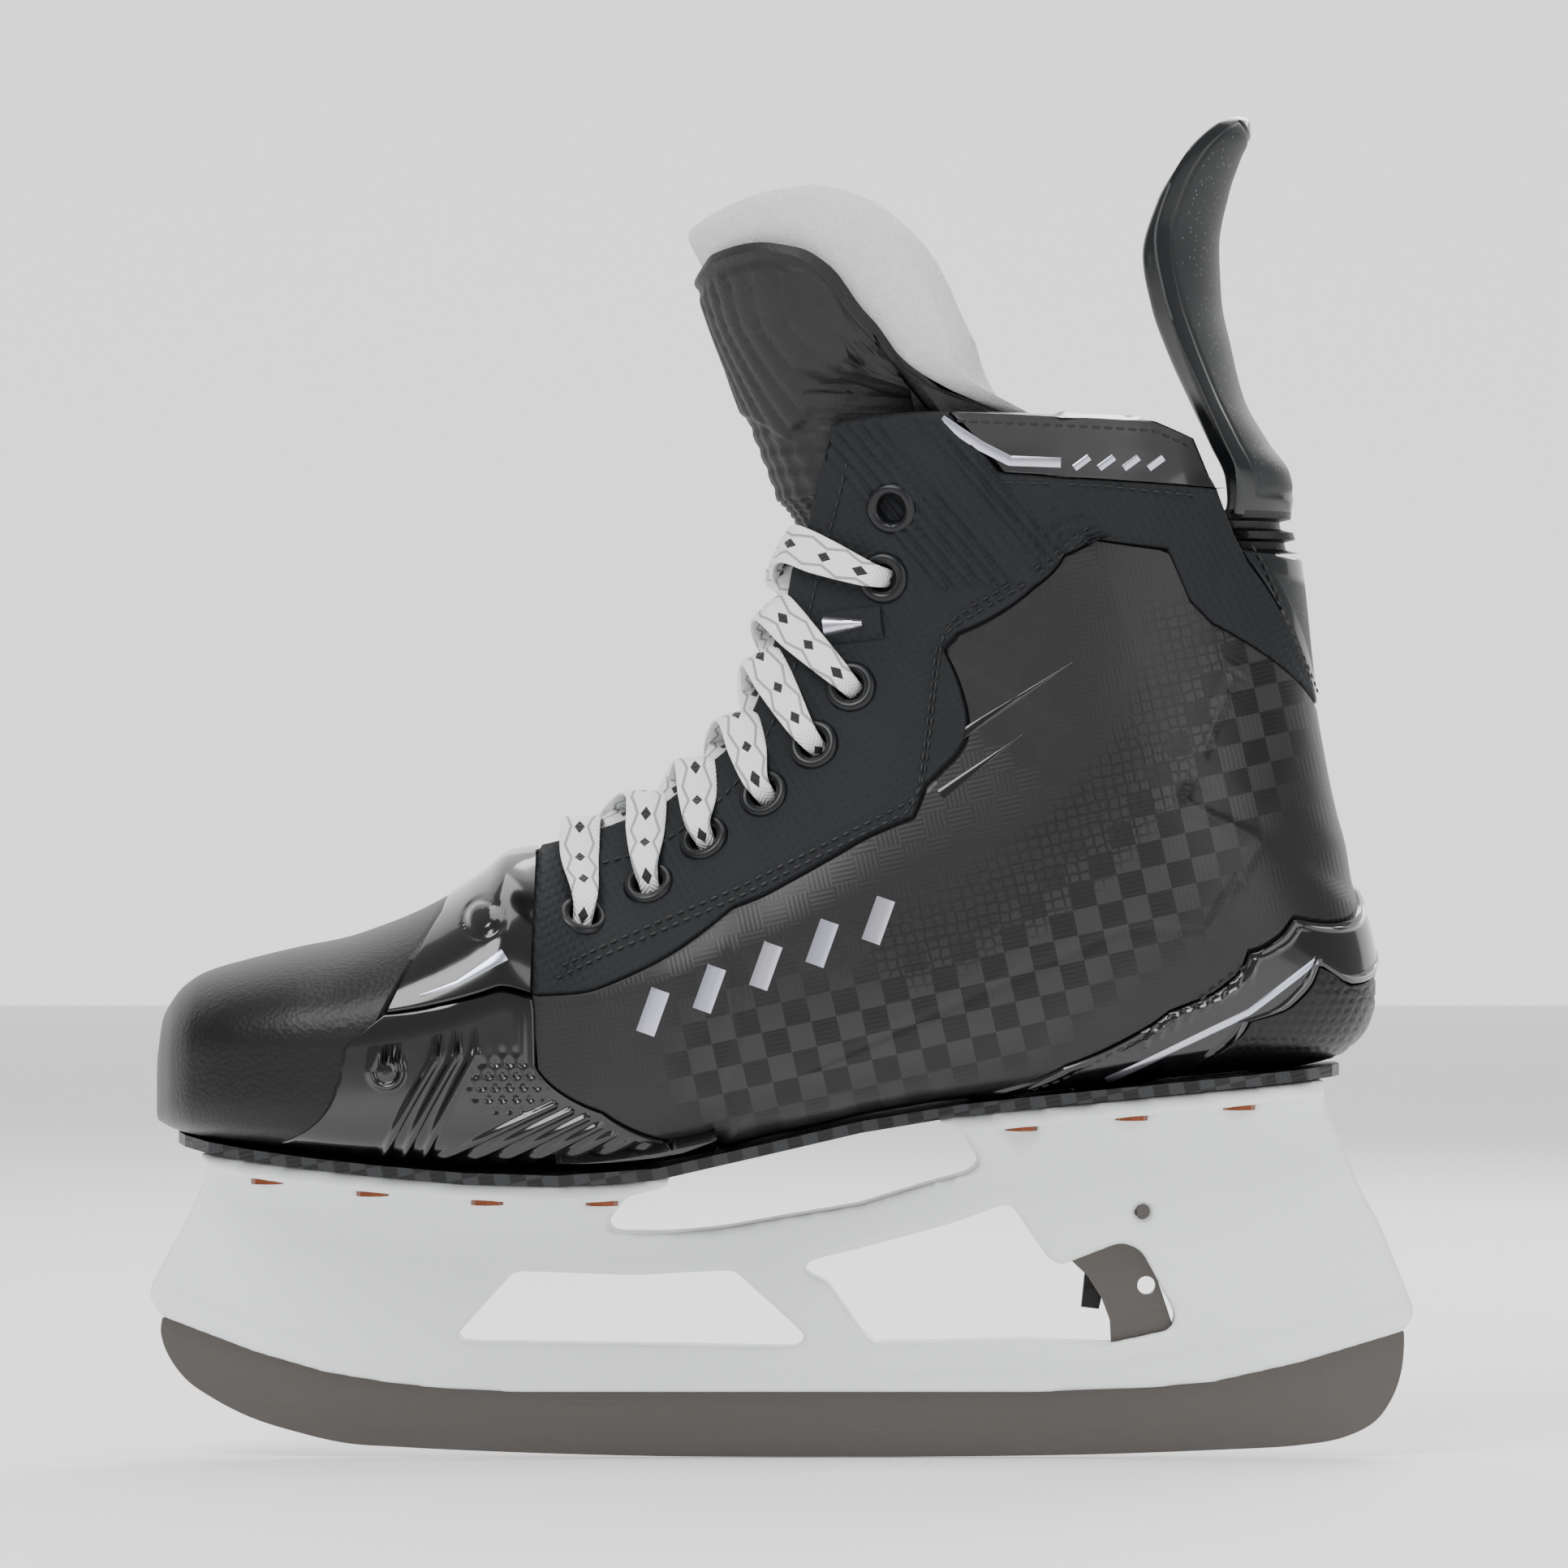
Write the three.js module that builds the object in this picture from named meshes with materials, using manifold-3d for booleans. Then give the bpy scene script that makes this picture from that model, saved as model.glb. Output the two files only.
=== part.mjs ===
// Left ice hockey skate. Millimetres, +Z up, toe towards -X, outer (lateral) side towards -Y.
// The origin is on the ice line, under the middle of the blade holder.
import * as THREE from 'three';
import { LoftGeometry } from 'three/addons/geometries/LoftGeometry.js';
import { mergeVertices } from 'three/addons/utils/BufferGeometryUtils.js';
import Module from 'manifold-3d';

const wasm = await Module();
wasm.setup();

// ---------------------------------------------------------------- driving dimensions
const GAP = 0.3; // between pieces that touch
const SHELL = 3.6; // wall of the boot's outer panels
const LINER = 4.2; // padded lining inside the shell
const LINER_INSET = SHELL + GAP;
const STEEL = 3; // runner thickness
const SLOT = STEEL + 2 * GAP; // groove in the holder that takes the runner
const RAIL_HALF = 6; // half width of the holder's bottom rail
const OUTSOLE = 2.6; // outsole plate thickness
const FOOTBED_LIFT = 8.6; // footbed above the sole line
const FOOTBED = 2.6;
const EYELET = { rim: 5.8, hole: 3.05, wall: 0.5, proud: 0.9, seat: 0.8 };
const LACE = { width: 9, thick: 1.4, narrow: 4.2 };
const AGLET = { radius: 1.6, length: 22 };
// A folded end of lace: where its lowest run starts, its tilt, its runs, and the room under the lowest one.
const HANK = { start: [46, 91.9], tilt: 0.098, length: 55, runs: 8, pitch: 3.6, y: 8, below: 1.9 };
// The rest of a free end, from the last eyelet in use to the top of its folds.
const TAIL = [[25.9, 22.1, 197.3], [26.8, 21.8, 196.1], [28.4, 22.1, 193.3], [32, 22.9, 187.3], [37, 24.4, 179],
  [42, 25.6, 168], [44.6, 26, 156], [44.5, 25, 144], [41.8, 21.5, 133.5], [38.5, 16.5, 126], [37, 11.5, 120.9],
  [38.4, 8.6, 118], [41.6, 8.1, 116.8], [45.6, 8, 117.1]];
// A lace lock: its place, the run of its tooth, and its height over the eyestay's curve.
const LOCK = { at: [16, 186.5], run: [1, 0.12], lift: 0.75, length: 13, width: 7, patch: 1, tooth: 9, plate: 0.9 };
const RIVET = { head: 3.6, shank: 1.6, strip: 1.2 };
const PIN = { radius: 1.5, half: 8.8 };
const SIDE = 80; // a half depth that cuts through the whole boot
const FACET = 0.04; // faces flatter than this are joined

// The boot is built on sections that stand upright through the foot, fan round the instep about the
// spine's corner, and lie level up the ankle. u runs along them and d runs across each from the spine.
const SPINE = { x: -25, z: 215, radius: 100 };
const TURN = (SPINE.radius * Math.PI) / 2;
const TOE_U = -114.6;
const CUFF_U = TURN + 33;

// Sole line: the underside of the outsole, from toe to heel, as x, z.
const SOLE = [[-140, 73], [-133, 70.4], [-111, 67.1], [-88.6, 64.7], [-60, 62.7], [-45, 62.5], [-25, 64.2],
  [-6, 68.6], [10, 72.4], [34, 76.9], [80, 81.8], [126, 86.2]];
// Back of the boot, from the heel up to the collar.
const HEEL = [[126.5, 91.5], [130.7, 95.5], [132.8, 100.5], [133.2, 106], [132.9, 112], [131, 121], [128.2, 128.3],
  [126.5, 137.8], [124.6, 145], [122.3, 156], [120.1, 169], [118.6, 181.7], [117.5, 192.6], [116, 204],
  [113, 216], [111, 232], [110, 250]];
// Top of the foot: toe cap, toe bridge, front edge of the eyestay, collar.
const TOP = [[-139.6, 92], [-138.5, 98.7], [-137.2, 101.4], [-134, 105.6], [-129.2, 108.7], [-120, 111.5],
  [-108, 114.4], [-98, 116.4], [-90, 119], [-82, 122.2], [-72.6, 127.2], [-65.4, 132.1], [-60.7, 135.8],
  [-54.3, 136.9], [-40.8, 140.5], [-28.9, 145.1], [-17, 154.2], [-11.5, 158.8], [-5.1, 168.9], [-2.4, 178],
  [0.4, 187.1], [4, 201.8], [8, 216.5], [11, 226], [14, 240], [16, 250]];
// Half width, by u.
const HALF_WIDTH = [[-114.6, 7], [-113, 15], [-110, 25], [-105, 33.5], [-95, 41.5], [-80, 47.5], [-60, 51],
  [-40, 52], [-20, 50], [0, 46.5], [35, 42.5], [70, 40], [105, 38.5], [135, 38], [157, 39.5], [192, 43]];
// Half width of the flat front of each section: nothing on the toe, the open throat further back.
const THROAT = [[-114.6, 0], [-60, 0], [-40, 9], [-29, 13], [-15, 16], [20, 19], [60, 21], [110, 23], [157, 26],
  [192, 30]];
// Exponents of the sections' front half and back half, by u.
const FRONT_POWER = [[-114.6, 2.6], [-40, 2.6], [-15, 1.4], [192, 1.5]];
const FRONT_ROOT = [[-114.6, 0.5], [-40, 0.5], [-15, 1.25], [110, 1.1], [192, 0.8]];
const BACK_POWER = [[-114.6, 6], [50, 7], [72, 5], [95, 2.8], [120, 2.2], [192, 2.2]];
const BACK_ROOT = [[-114.6, 0.27], [50, 0.25], [72, 0.3], [95, 0.42], [120, 0.48], [192, 0.5]];

// Seams between the boot's panels, seen from the side, as x, z.
const CAP_SEAM = [[-73, 140], [-75.3, 122.1], [-87.2, 100.7], [-110.6, 67], [-116, 50]];
const BRIDGE_SEAM = [[-87.2, 100.7], [-54.5, 104.9]];
const GUARD_SEAM = [[-54.5, 104.9], [-53.7, 89], [-39.1, 79.1], [-22.7, 72.6], [-14, 69.6], [-8, 50]];
const EYESTAY_FRONT = [[-54.5, 104.9], [-54.1, 150]];
const EYESTAY_SEAM = [[-54.5, 104.9], [-10.1, 124.4], [29.1, 144], [31.8, 150.9], [36, 181.1], [38.9, 184.6],
  [55.7, 194.8], [69.1, 205.4], [85.2, 203.2], [90.1, 192.1], [95, 187.1], [119.5, 169], [140, 158]];
const BASE_SEAM = [[100.5, 226], [99.6, 213.4], [103.4, 200.5], [119.5, 169]];
const EDGE_SEAM = [[35.5, 240], [36.9, 233.4], [47.9, 220.2], [94.5, 217], [99.7, 216.3], [104, 215.7]];
const BAND_TOP = [[42, 70], [46.4, 83], [62, 89], [85.2, 100.9], [102.7, 113.9], [113.3, 121.7], [128.7, 128.5],
  [142, 133]];
const BAND_LOW = [[68, 70], [70.7, 84], [103.6, 99], [119.1, 111.1], [125.9, 106.7], [132.7, 111.1], [142, 114]];
const COLLAR_TOP = [[0, 232], [11, 228.5], [16, 231.4], [21, 233.3], [33, 233.6], [82.4, 231.4], [91.4, 227.7],
  [96.3, 216.6], [100.5, 205.8], [104, 201.8], [125, 201.8]];

const EYELETS = [[-43.9, 121.6], [-29.3, 128.8], [-17, 138.9], [-3.7, 148.9], [7.3, 159.9], [15.5, 172.7],
  [22.7, 197], [24.5, 212.4]]; // x, z, from the toe up
const LACED = 7; // pairs in use, from the toe up

// Holder, side view.
const HOLDER_BOTTOM = [[-139.6, 32], [-118.2, 23.8], [-102.3, 19.2], [-87.7, 16.8], [-75.1, 15.5], [-59.4, 14.8],
  [57, 14.8], [82, 15.7], [96.7, 17], [116.4, 21.4], [139.8, 28.5]];
const HOLDER_NOSE = [[-132.3, 76], [-128.1, 64.9], [-132.9, 54.8], [-141.4, 39.1], [-142, 36.5]];
const HOLDER_TAIL = [[142, 31.8], [142, 33.6], [134.3, 52.5], [129.9, 60.5], [124.5, 73.3], [121.2, 81.7],
  [121.9, 92]];
const BRIDGE_TOP = [[33.8, 84], [33.8, 76.2], [39.7, 74.4], [44.6, 66.4], [42.2, 64.3], [32.3, 61.6], [17.4, 57],
  [-2.4, 53.7], [-12.2, 51.9], [-24.9, 50.6], [-37.5, 50.6], [-39.5, 52.6], [-34.2, 59.6], [-25.2, 61.6],
  [-24.9, 75]];
const FRONT_WINDOW = [[-73.3, 27.2], [-59.9, 42], [-33, 41.1], [-10.6, 42.2], [6, 27], [4, 25], [-71.8, 26.1]];
const REAR_WINDOW = [[2, 43.3], [17.4, 47.1], [37.3, 52.4], [51.2, 57.4], [59.6, 45.1], [62.5, 43.3], [66, 44.6],
  [74.9, 48.1], [76.9, 48.4], [80.8, 46.6], [88.3, 32.7], [88.4, 30.7], [86.8, 28.7], [74.4, 26], [57, 26.7],
  [20.8, 26], [18.8, 27.8], [10.4, 39.7]];
// Half width of the two flanges under the sole, by x.
const FLANGE = [[-142, 9], [-134, 17], [-125, 25], [-110, 30], [-80, 31], [-50, 30], [-36, 27], [-25, 21],
  [0, 9], [30, 13], [38, 20], [50, 24], [75, 27], [100, 27], [115, 24], [122, 16], [142, 9]];
const FLANGE_THICK = 3.6;
const FRONT_RIVETS = [-114.5, -91, -65.5, -40];
const REAR_RIVETS = [53.5, 78, 102];
const RIVET_INSET = 9; // rivets inside the flange's edge

// Runner, side view: the ground edge with its rocker, then the tang with its two hooks.
const RUNNER_EDGE = [[-139.3, 31.2], [-139.6, 28.1], [-138.2, 23.4], [-134, 17.5], [-127.6, 13], [-119.2, 8.8],
  [-109.8, 5.8], [-98.1, 3.1], [-85.7, 2.2], [-64.7, 1.2], [-30, 0.2], [0, 0], [25, 0], [50, 0.2], [72, 0.6], [96.7, 1.5],
  [116.4, 2.6], [126.5, 4.4], [133.4, 7.9], [137.2, 13], [139.3, 18.8], [140, 24.7], [140, 28]];
const RUNNER_TANG = [[137, 33], [130, 32], [116, 27.5], [97, 23.5], [89.5, 22.5], [87.8, 30], [84.5, 40],
  [79.5, 50], [70, 50.5], [65, 47], [65.4, 43.9], [68.9, 40.6], [72, 35.6], [73.8, 30.7], [74.2, 22.5],
  [-75, 22.5], [-100, 26], [-118, 30.5], [-124, 33], [-125, 41], [-133, 42], [-136.5, 36], [-136.5, 33]];
const TRIGGER_PIVOT = [81, 55.5];
// Room in the holder for the tang, the trigger's lever and its catch.
const RUNNER_SLOT = [[-141, 20], [-140.3, 33], [-137.9, 37.4], [-137.4, 44], [-123, 44], [-120, 33.5], [-100, 27.6],
  [-75, 24], [61, 24], [61.5, 53.5], [71, 53.5], [88, 52], [91.5, 40], [92.5, 25.6], [116, 29.2], [130, 34.5],
  [138.6, 35.5], [143, 10], [143, 0], [-138, 0]];
const TRIGGER_POCKET = [[63, 40], [63, 60.5], [89, 60.5], [92, 48], [84, 40]];
const CATCH_ROOM = [[75, 49.8], [75, 61], [92, 61], [96, 52], [92, 46]];
// Trigger: its catch in the slot, and its lever beside it, from inner to outer.
const TRIGGER = { inner: 2.6, outer: 5.6, boss: 3.4 };
const CATCH_PLATE = [[78.5, 53.5], [81, 51.9], [88.5, 46.5], [91, 49], [85, 58], [79, 58.5]];
const LEVER = [[76, 56.5], [81, 59], [84.4, 55.5], [79, 49], [73.5, 42], [71.5, 33], [67.5, 33.5], [68.5, 43]];
const HOOK_HOLE = { at: [82, 38.6], radius: 2 };
const SPRING = { radius: 2.7, wire: 0.4, turns: 1.5, rise: 1.7, start: 6.25 };

// Tendon guard: height, front edge of the wings, back of the spine, half width.
const GUARD = [[210.8, 100.2, 114.6, 20], [216, 101, 115.2, 22], [221, 100.6, 114.4, 24], [228, 97.6, 109.6, 26],
  [238, 93, 104, 28], [250, 87.7, 101, 29.5], [260, 84.2, 99, 30], [272, 82.1, 98.5, 30], [284, 85.3, 100.7, 28.5],
  [292, 89.9, 103.4, 25], [297.5, 95.2, 105.6, 19], [300.4, 99.2, 105.6, 11], [301.2, 101.5, 104.6, 5]];
const GUARD_WALL = 3;
const GUARD_NECK = [[101.5, 203.8], [106.5, 203.8], [108, 214], [102.5, 214]]; // the part that flexes
const GUARD_NECK_HALF = 14;
const GUARD_FOOT = [[100.4, 210.8], [114.6, 210.8], [115.2, 218], [104, 218]]; // joins the neck to the wall
const GUARD_FOOT_HALF = 18;

// Tongue, by u: its front line, half width and how far its wings wrap back.
const TONGUE = [[-24, 92, 22, 12], [10, 81, 22, 13], [50, 58, 21, 16], [85, 47, 21, 20], [110, 36, 22, 24],
  [157, 24, 27, 34], [172, 18.5, 31, 46], [180, 15.5, 34, 50], [192, 11, 37, 52], [207, 5.5, 39.5, 55],
  [218, 0.5, 41, 56], [228, -2, 42, 55]];
const TONGUE_ROOM = 8; // the lace runs between the liner and the tongue
const TONGUE_FACE = 2.4;
const TONGUE_FELT = 7;
const FELT_GAP = 0.9; // between the face and the felt behind it
const FELT_HALF = 17.5; // the felt is this narrow, each way, below the free top
const FELT_EDGE = [[-26.5, 273], [-15.9, 279.8], [-5.5, 283.3], [3.7, 284.2], [12.1, 282.5], [20.5, 277],
  [28.1, 267.9], [34.4, 256], [39.3, 244.9], [42.4, 233.6], [46, 228], [52, 190], [30, 130], [-30, 100],
  [-60, 100], [-60, 200], [-30, 262]];
const FACE_EDGE = [[-30, 262], [-20.1, 265.2], [-15.9, 269.2], [-5.5, 271.2], [1.5, 270.1], [8.6, 265.7],
  [14.8, 257.3], [20.5, 250.4], [26, 234.3], [33, 226], [38, 195], [10, 140], [-40, 108], [-60, 108],
  [-60, 200]];
const FLOP_Z = 234; // the tongue folds forward here

// ---------------------------------------------------------------- helpers
// A smooth curve through points that never overshoots them (Fritsch and Carlson's slopes).
function smooth(points) {
  const slope = (i) => (points[i + 1][1] - points[i][1]) / (points[i + 1][0] - points[i][0]);
  const tangent = points.map((point, i) => {
    if (i === 0) return slope(0);
    if (i === points.length - 1) return slope(i - 1);
    const before = slope(i - 1);
    const after = slope(i);
    return before * after <= 0 ? 0 : (2 * before * after) / (before + after);
  });
  return (x) => {
    let i = 0;
    while (i < points.length - 2 && x > points[i + 1][0]) i++;
    const [x0, y0] = points[i];
    const [x1, y1] = points[i + 1];
    const h = x1 - x0;
    const t = Math.min(Math.max((x - x0) / h, 0), 1);
    const s = 1 - t;
    return y0 * (1 + 2 * t) * s * s + tangent[i] * h * t * s * s +
      y1 * (3 - 2 * t) * t * t - tangent[i + 1] * h * t * t * s;
  };
}

function toSolid(geometry) {
  const bare = geometry.index ? geometry.toNonIndexed() : geometry.clone();
  bare.deleteAttribute('normal');
  bare.deleteAttribute('uv');
  const merged = mergeVertices(bare, 1e-3);
  return new wasm.Manifold(new wasm.Mesh({
    numProp: 3,
    vertProperties: merged.attributes.position.array,
    triVerts: new Uint32Array(merged.index.array),
  }));
}

function toGeometry(solid) {
  const mesh = solid.getMesh();
  const geometry = new THREE.BufferGeometry();
  geometry.setAttribute('position', new THREE.BufferAttribute(new Float32Array(mesh.vertProperties), 3));
  geometry.setIndex(new THREE.BufferAttribute(new Uint32Array(mesh.triVerts), 1));
  geometry.computeVertexNormals();
  return geometry;
}

// A side-view outline made into a solid between two values of y.
function prism(outline, low = -SIDE, high = SIDE) {
  const shape = new THREE.Shape(outline.map(([x, z]) => new THREE.Vector2(x, z)));
  const geometry = new THREE.ExtrudeGeometry(shape, { depth: high - low, bevelEnabled: false });
  geometry.rotateX(Math.PI / 2);
  geometry.translate(0, high, 0);
  return toSolid(geometry);
}

// A thin curtain along a side-view line, which parts two panels by one gap.
function curtain(line) {
  const side = (sign) => line.map(([x, z], i) => {
    const [ax, az] = line[Math.max(i - 1, 0)];
    const [bx, bz] = line[Math.min(i + 1, line.length - 1)];
    const length = Math.hypot(bx - ax, bz - az);
    return [x - (sign * GAP * (bz - az)) / (2 * length), z + (sign * GAP * (bx - ax)) / (2 * length)];
  });
  return prism([...side(1), ...side(-1).reverse()]);
}

// Skins closed rings of points. Each ring has to wind to the right about the way the loft runs.
function loft(sections) {
  const rings = sections.map((ring) => ring.map(([x, y, z]) => new THREE.Vector3(x, y, z)));
  const middle = (ring) => ring.reduce((sum, point) => sum.add(point), new THREE.Vector3()).divideScalar(ring.length);
  const at = Math.floor(rings.length / 2);
  const ahead = middle(rings[at]).sub(middle(rings[at - 1]));
  const area = new THREE.Vector3();
  rings[at].forEach((point, i) => area.add(point.clone().cross(rings[at][(i + 1) % rings[at].length])));
  if (area.dot(ahead) < 0) rings.forEach((ring) => ring.reverse());
  return toSolid(new LoftGeometry(rings, { capStart: true, capEnd: true }));
}

function cylinder(radius, length, at, direction, segments = 16) {
  const geometry = new THREE.CylinderGeometry(radius, radius, length, segments);
  geometry.applyQuaternion(new THREE.Quaternion().setFromUnitVectors(new THREE.Vector3(0, 1, 0), direction));
  geometry.translate(at.x, at.y, at.z);
  return toSolid(geometry);
}

// The largest body of a solid, without the slivers that a cut leaves.
function largest(solid) {
  return solid.decompose().sort((a, b) => b.volume() - a.volume())[0];
}

// ---------------------------------------------------------------- the boot's form
function onFan(u, d, y) {
  if (u < 0) return [SPINE.x + u, y, SPINE.z - d];
  if (u > TURN) return [SPINE.x + d, y, SPINE.z + u - TURN];
  const angle = u / SPINE.radius;
  return [SPINE.x + d * Math.sin(angle), y, SPINE.z - d * Math.cos(angle)];
}

function toFan(x, z) {
  if (z > SPINE.z) return [TURN + z - SPINE.z, x - SPINE.x];
  if (x < SPINE.x) return [x - SPINE.x, SPINE.z - z];
  return [SPINE.radius * Math.atan2(x - SPINE.x, SPINE.z - z), Math.hypot(x - SPINE.x, SPINE.z - z)];
}

const soleZ = smooth(SOLE);
const SHELL_LIFT = OUTSOLE + 2 * GAP;
const soleRun = [-139.6, -136, -130, -120, -105, -90, -75, -60, -45, -30, -15, 0, 15, 30, 45, 60, 80, 100, 118];
const outer = smooth([...soleRun.map((x) => [x, soleZ(x) + SHELL_LIFT]), ...HEEL].map(([x, z]) => toFan(x, z)));
const inner = smooth(TOP.map(([x, z]) => toFan(x, z)));
const halfWidth = smooth(HALF_WIDTH);
const throat = smooth(THROAT);
const frontPower = smooth(FRONT_POWER);
const frontRoot = smooth(FRONT_ROOT);
const backPower = smooth(BACK_POWER);
const backRoot = smooth(BACK_ROOT);

// Half width of the boot at one place of a section, for the surface that lies inset under the outside.
function bootY(u, across, inset) {
  const wide = halfWidth(u) - inset;
  const level = Math.min(Math.abs(1 - 2 * across), 1);
  if (across > 0.5) return wide * (1 - level ** backPower(u)) ** backRoot(u);
  const open = Math.min(throat(u), wide);
  return open + (wide - open) * (1 - level ** frontPower(u)) ** frontRoot(u);
}

function sideY(x, z, inset) {
  const [u, d] = toFan(x, z);
  const front = inner(u) + inset;
  return bootY(u, (d - front) / (outer(u) - inset - front), inset);
}

// The point on the outside at a side-view place, with the way out of the surface there.
function onBoot(x, z, side, inset = 0) {
  const step = 1;
  const y = sideY(x, z, inset);
  const slopeX = (sideY(x + step, z, inset) - sideY(x - step, z, inset)) / (2 * step);
  const slopeZ = (sideY(x, z + step, inset) - sideY(x, z - step, inset)) / (2 * step);
  const normal = new THREE.Vector3(-slopeX, side, -slopeZ).normalize();
  return { point: new THREE.Vector3(x, side * y, z), normal };
}

const AROUND = 22; // points round each section
function bootRing(u, inset) {
  const front = inner(u) + inset;
  const back = outer(u) - inset;
  return Array.from({ length: AROUND }, (unused, k) => {
    const turn = (2 * Math.PI * (k + 0.5)) / AROUND;
    const c = Math.cos(turn);
    const power = c > 0 ? frontPower(u) : backPower(u);
    const across = (1 - Math.sign(c) * Math.abs(c) ** (2 / power)) / 2;
    return onFan(u, front + (back - front) * across, Math.sign(Math.sin(turn)) * bootY(u, across, inset));
  });
}

const TOE_STEPS = [0, 1.4, 4.5, 10, 19, 31, 46, 60, 72, 81, 89, 100, 112];
const FAN_STEPS = 11;
const CUFF_STEPS = 2;
function bootForm(inset, top = CUFF_U) {
  const toe = TOE_STEPS.map((step) => TOE_U + inset + (step * (-TOE_U - inset)) / 114.6);
  const fan = Array.from({ length: FAN_STEPS + 1 }, (unused, k) => 2 + ((TURN - 2) * k) / FAN_STEPS);
  const cuff = Array.from({ length: CUFF_STEPS }, (unused, k) => TURN + ((top - TURN) * (k + 1)) / CUFF_STEPS);
  return loft([...toe, ...fan, ...cuff].map((u) => bootRing(u, inset)));
}

// ---------------------------------------------------------------- materials
const finish = (color, roughness, metalness = 0) => () =>
  new THREE.MeshStandardMaterial({ color, roughness, metalness, flatShading: true });
const satinBlack = finish(0x1e1f21, 0.5);
const glossBlack = finish(0x121214, 0.12);
const charcoal = finish(0x3b393c, 0.45);
const matteSlate = finish(0x2e3136, 0.7);
const whitePlastic = finish(0xeef2f1, 0.35);
const steelGrey = finish(0x55514f, 0.3, 1);
const copper = finish(0xb5694a, 0.35, 1);
const carbon = finish(0x26272a, 0.3);
const felt = finish(0xeef0ee, 0.95);
const laceWhite = finish(0xf2f3f2, 0.85);
const linerGrey = finish(0x3a3c40, 0.9);
const blackPlastic = finish(0x2a2c2f, 0.4);

const skate = new THREE.Group();
function piece(name, solid, material) {
  const geometry = solid instanceof THREE.BufferGeometry ? solid : toGeometry(solid.simplify(FACET));
  const mesh = new THREE.Mesh(geometry, material());
  mesh.name = name;
  skate.add(mesh);
}
const SIDES = [['lateral', -1], ['medial', 1]];
const sideRange = (side) => (side < 0 ? [-SIDE, -GAP / 2] : [GAP / 2, SIDE]);

// ---------------------------------------------------------------- throat, eyelet seats
// The throat is open between the eyestays, from the toe bridge to the collar.
const THROAT_START = -28.6;
const throatSections = [THROAT_START, -20, -10, 0, 15, 35, 60, 85, 110, 135, TURN, TURN + 18, CUFF_U + 8];
const throatCut = loft(throatSections.map((u) => {
  const wide = throat(Math.min(u, CUFF_U)) + 1.9;
  const d = inner(Math.min(u, CUFF_U));
  return [[-wide, d - 9], [-wide, d + 13], [wide, d + 13], [wide, d - 9]].map(([y, at]) => onFan(u, at, y));
}));

const eyeletHoles = [];
for (const [, side] of SIDES) {
  for (const [x, z] of EYELETS) {
    const { point, normal } = onBoot(x, z, side);
    const seat = point.clone().addScaledVector(normal, 6 - EYELET.seat);
    const hole = EYELET.hole + EYELET.wall + 2 * GAP;
    eyeletHoles.push(cylinder(EYELET.rim + GAP, 12, seat, normal, 9));
    eyeletHoles.push(cylinder(hole, 30, point, normal, 7));
  }
}

// ---------------------------------------------------------------- lace
// A flat lace crosses over the throat, goes down through each eyelet from outside and comes up beneath it.
const BELOW_LINER = LINER_INSET + LINER + LACE.thick / 2 + 2 * GAP;
const LACE_END = 2.9; // the last stretch stops short by this, where the free end takes over
const LACE_RISE = 1.3; // above the eyestay
const HIGH = LACE.thick + 0.9; // the upper of two strands where they cross
const tongueLine = [1, 2, 3].map((column) => smooth(TONGUE.map((row) => [row[0], row[column]])));
const eyeletFan = EYELETS.map(([x, z]) => toFan(x, z));
const tongueFront = (u) => Math.min(inner(u), tongueLine[0](Math.max(u, -24)));
const tongueAt = (u, y) => tongueD(u, y, tongueLine[1](u), tongueLine[2](u), 0);
const fanPoint = (u, d, y) => new THREE.Vector3(...onFan(u, d, y));

// One end of the lace, from the middle of the lowest bar to the inside of the last eyelet in use.
function strand(firstSide, lift) {
  const points = [];
  const add = (point, width) => points.push({ point, width });
  for (let i = 0; i < LACED; i++) {
    const side = i % 2 === 0 ? firstSide : -firstSide;
    const u = eyeletFan[i][0];
    const { point, normal } = onBoot(...EYELETS[i], side);
    const edge = throat(u) + 1;
    const before = i === 0 ? u : (u + eyeletFan[i - 1][0]) / 2;
    const middle = i === 0 ? 0 : lift;
    add(fanPoint(i === 0 ? u : before + 2, tongueFront(before) - LACE_RISE - 1.2 - middle, 0), LACE.width);
    add(fanPoint(u - 1, inner(u) - LACE_RISE - 2.2, side * (edge - 1)), LACE.width);
    const over = point.clone().addScaledVector(normal, LACE_RISE + EYELET.proud + 1.6);
    const shoulder = fanPoint(u - 1, inner(u) + 4, 0);
    shoulder.y = side * (bootY(u - 1, 4 / (outer(u) - inner(u)), 0) + LACE_RISE + 1.6);
    add(shoulder, LACE.width);
    add(over.clone().lerp(shoulder, 0.2), LACE.width * 0.6);
    add(point.clone().addScaledVector(normal, -0.6), LACE.narrow);
    const depth = i === LACED - 1 ? BELOW_LINER - LACE_END : BELOW_LINER - 0.4;
    add(point.clone().addScaledVector(normal, -depth), LACE.narrow);
    if (i === LACED - 1) break;
    const next = (u + eyeletFan[i + 1][0]) / 2;
    const under = side * (throat(u) - 2.5);
    add(fanPoint(u + 2, inner(u) + BELOW_LINER + 1.4, under), LACE.width * 0.6);
    const rising = side * (throat(next) - 7);
    add(fanPoint(next - 3, Math.min(inner(next) + 3, tongueAt(next - 3, rising) - 4), rising), LACE.width * 0.9);
  }
  return points;
}

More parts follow.
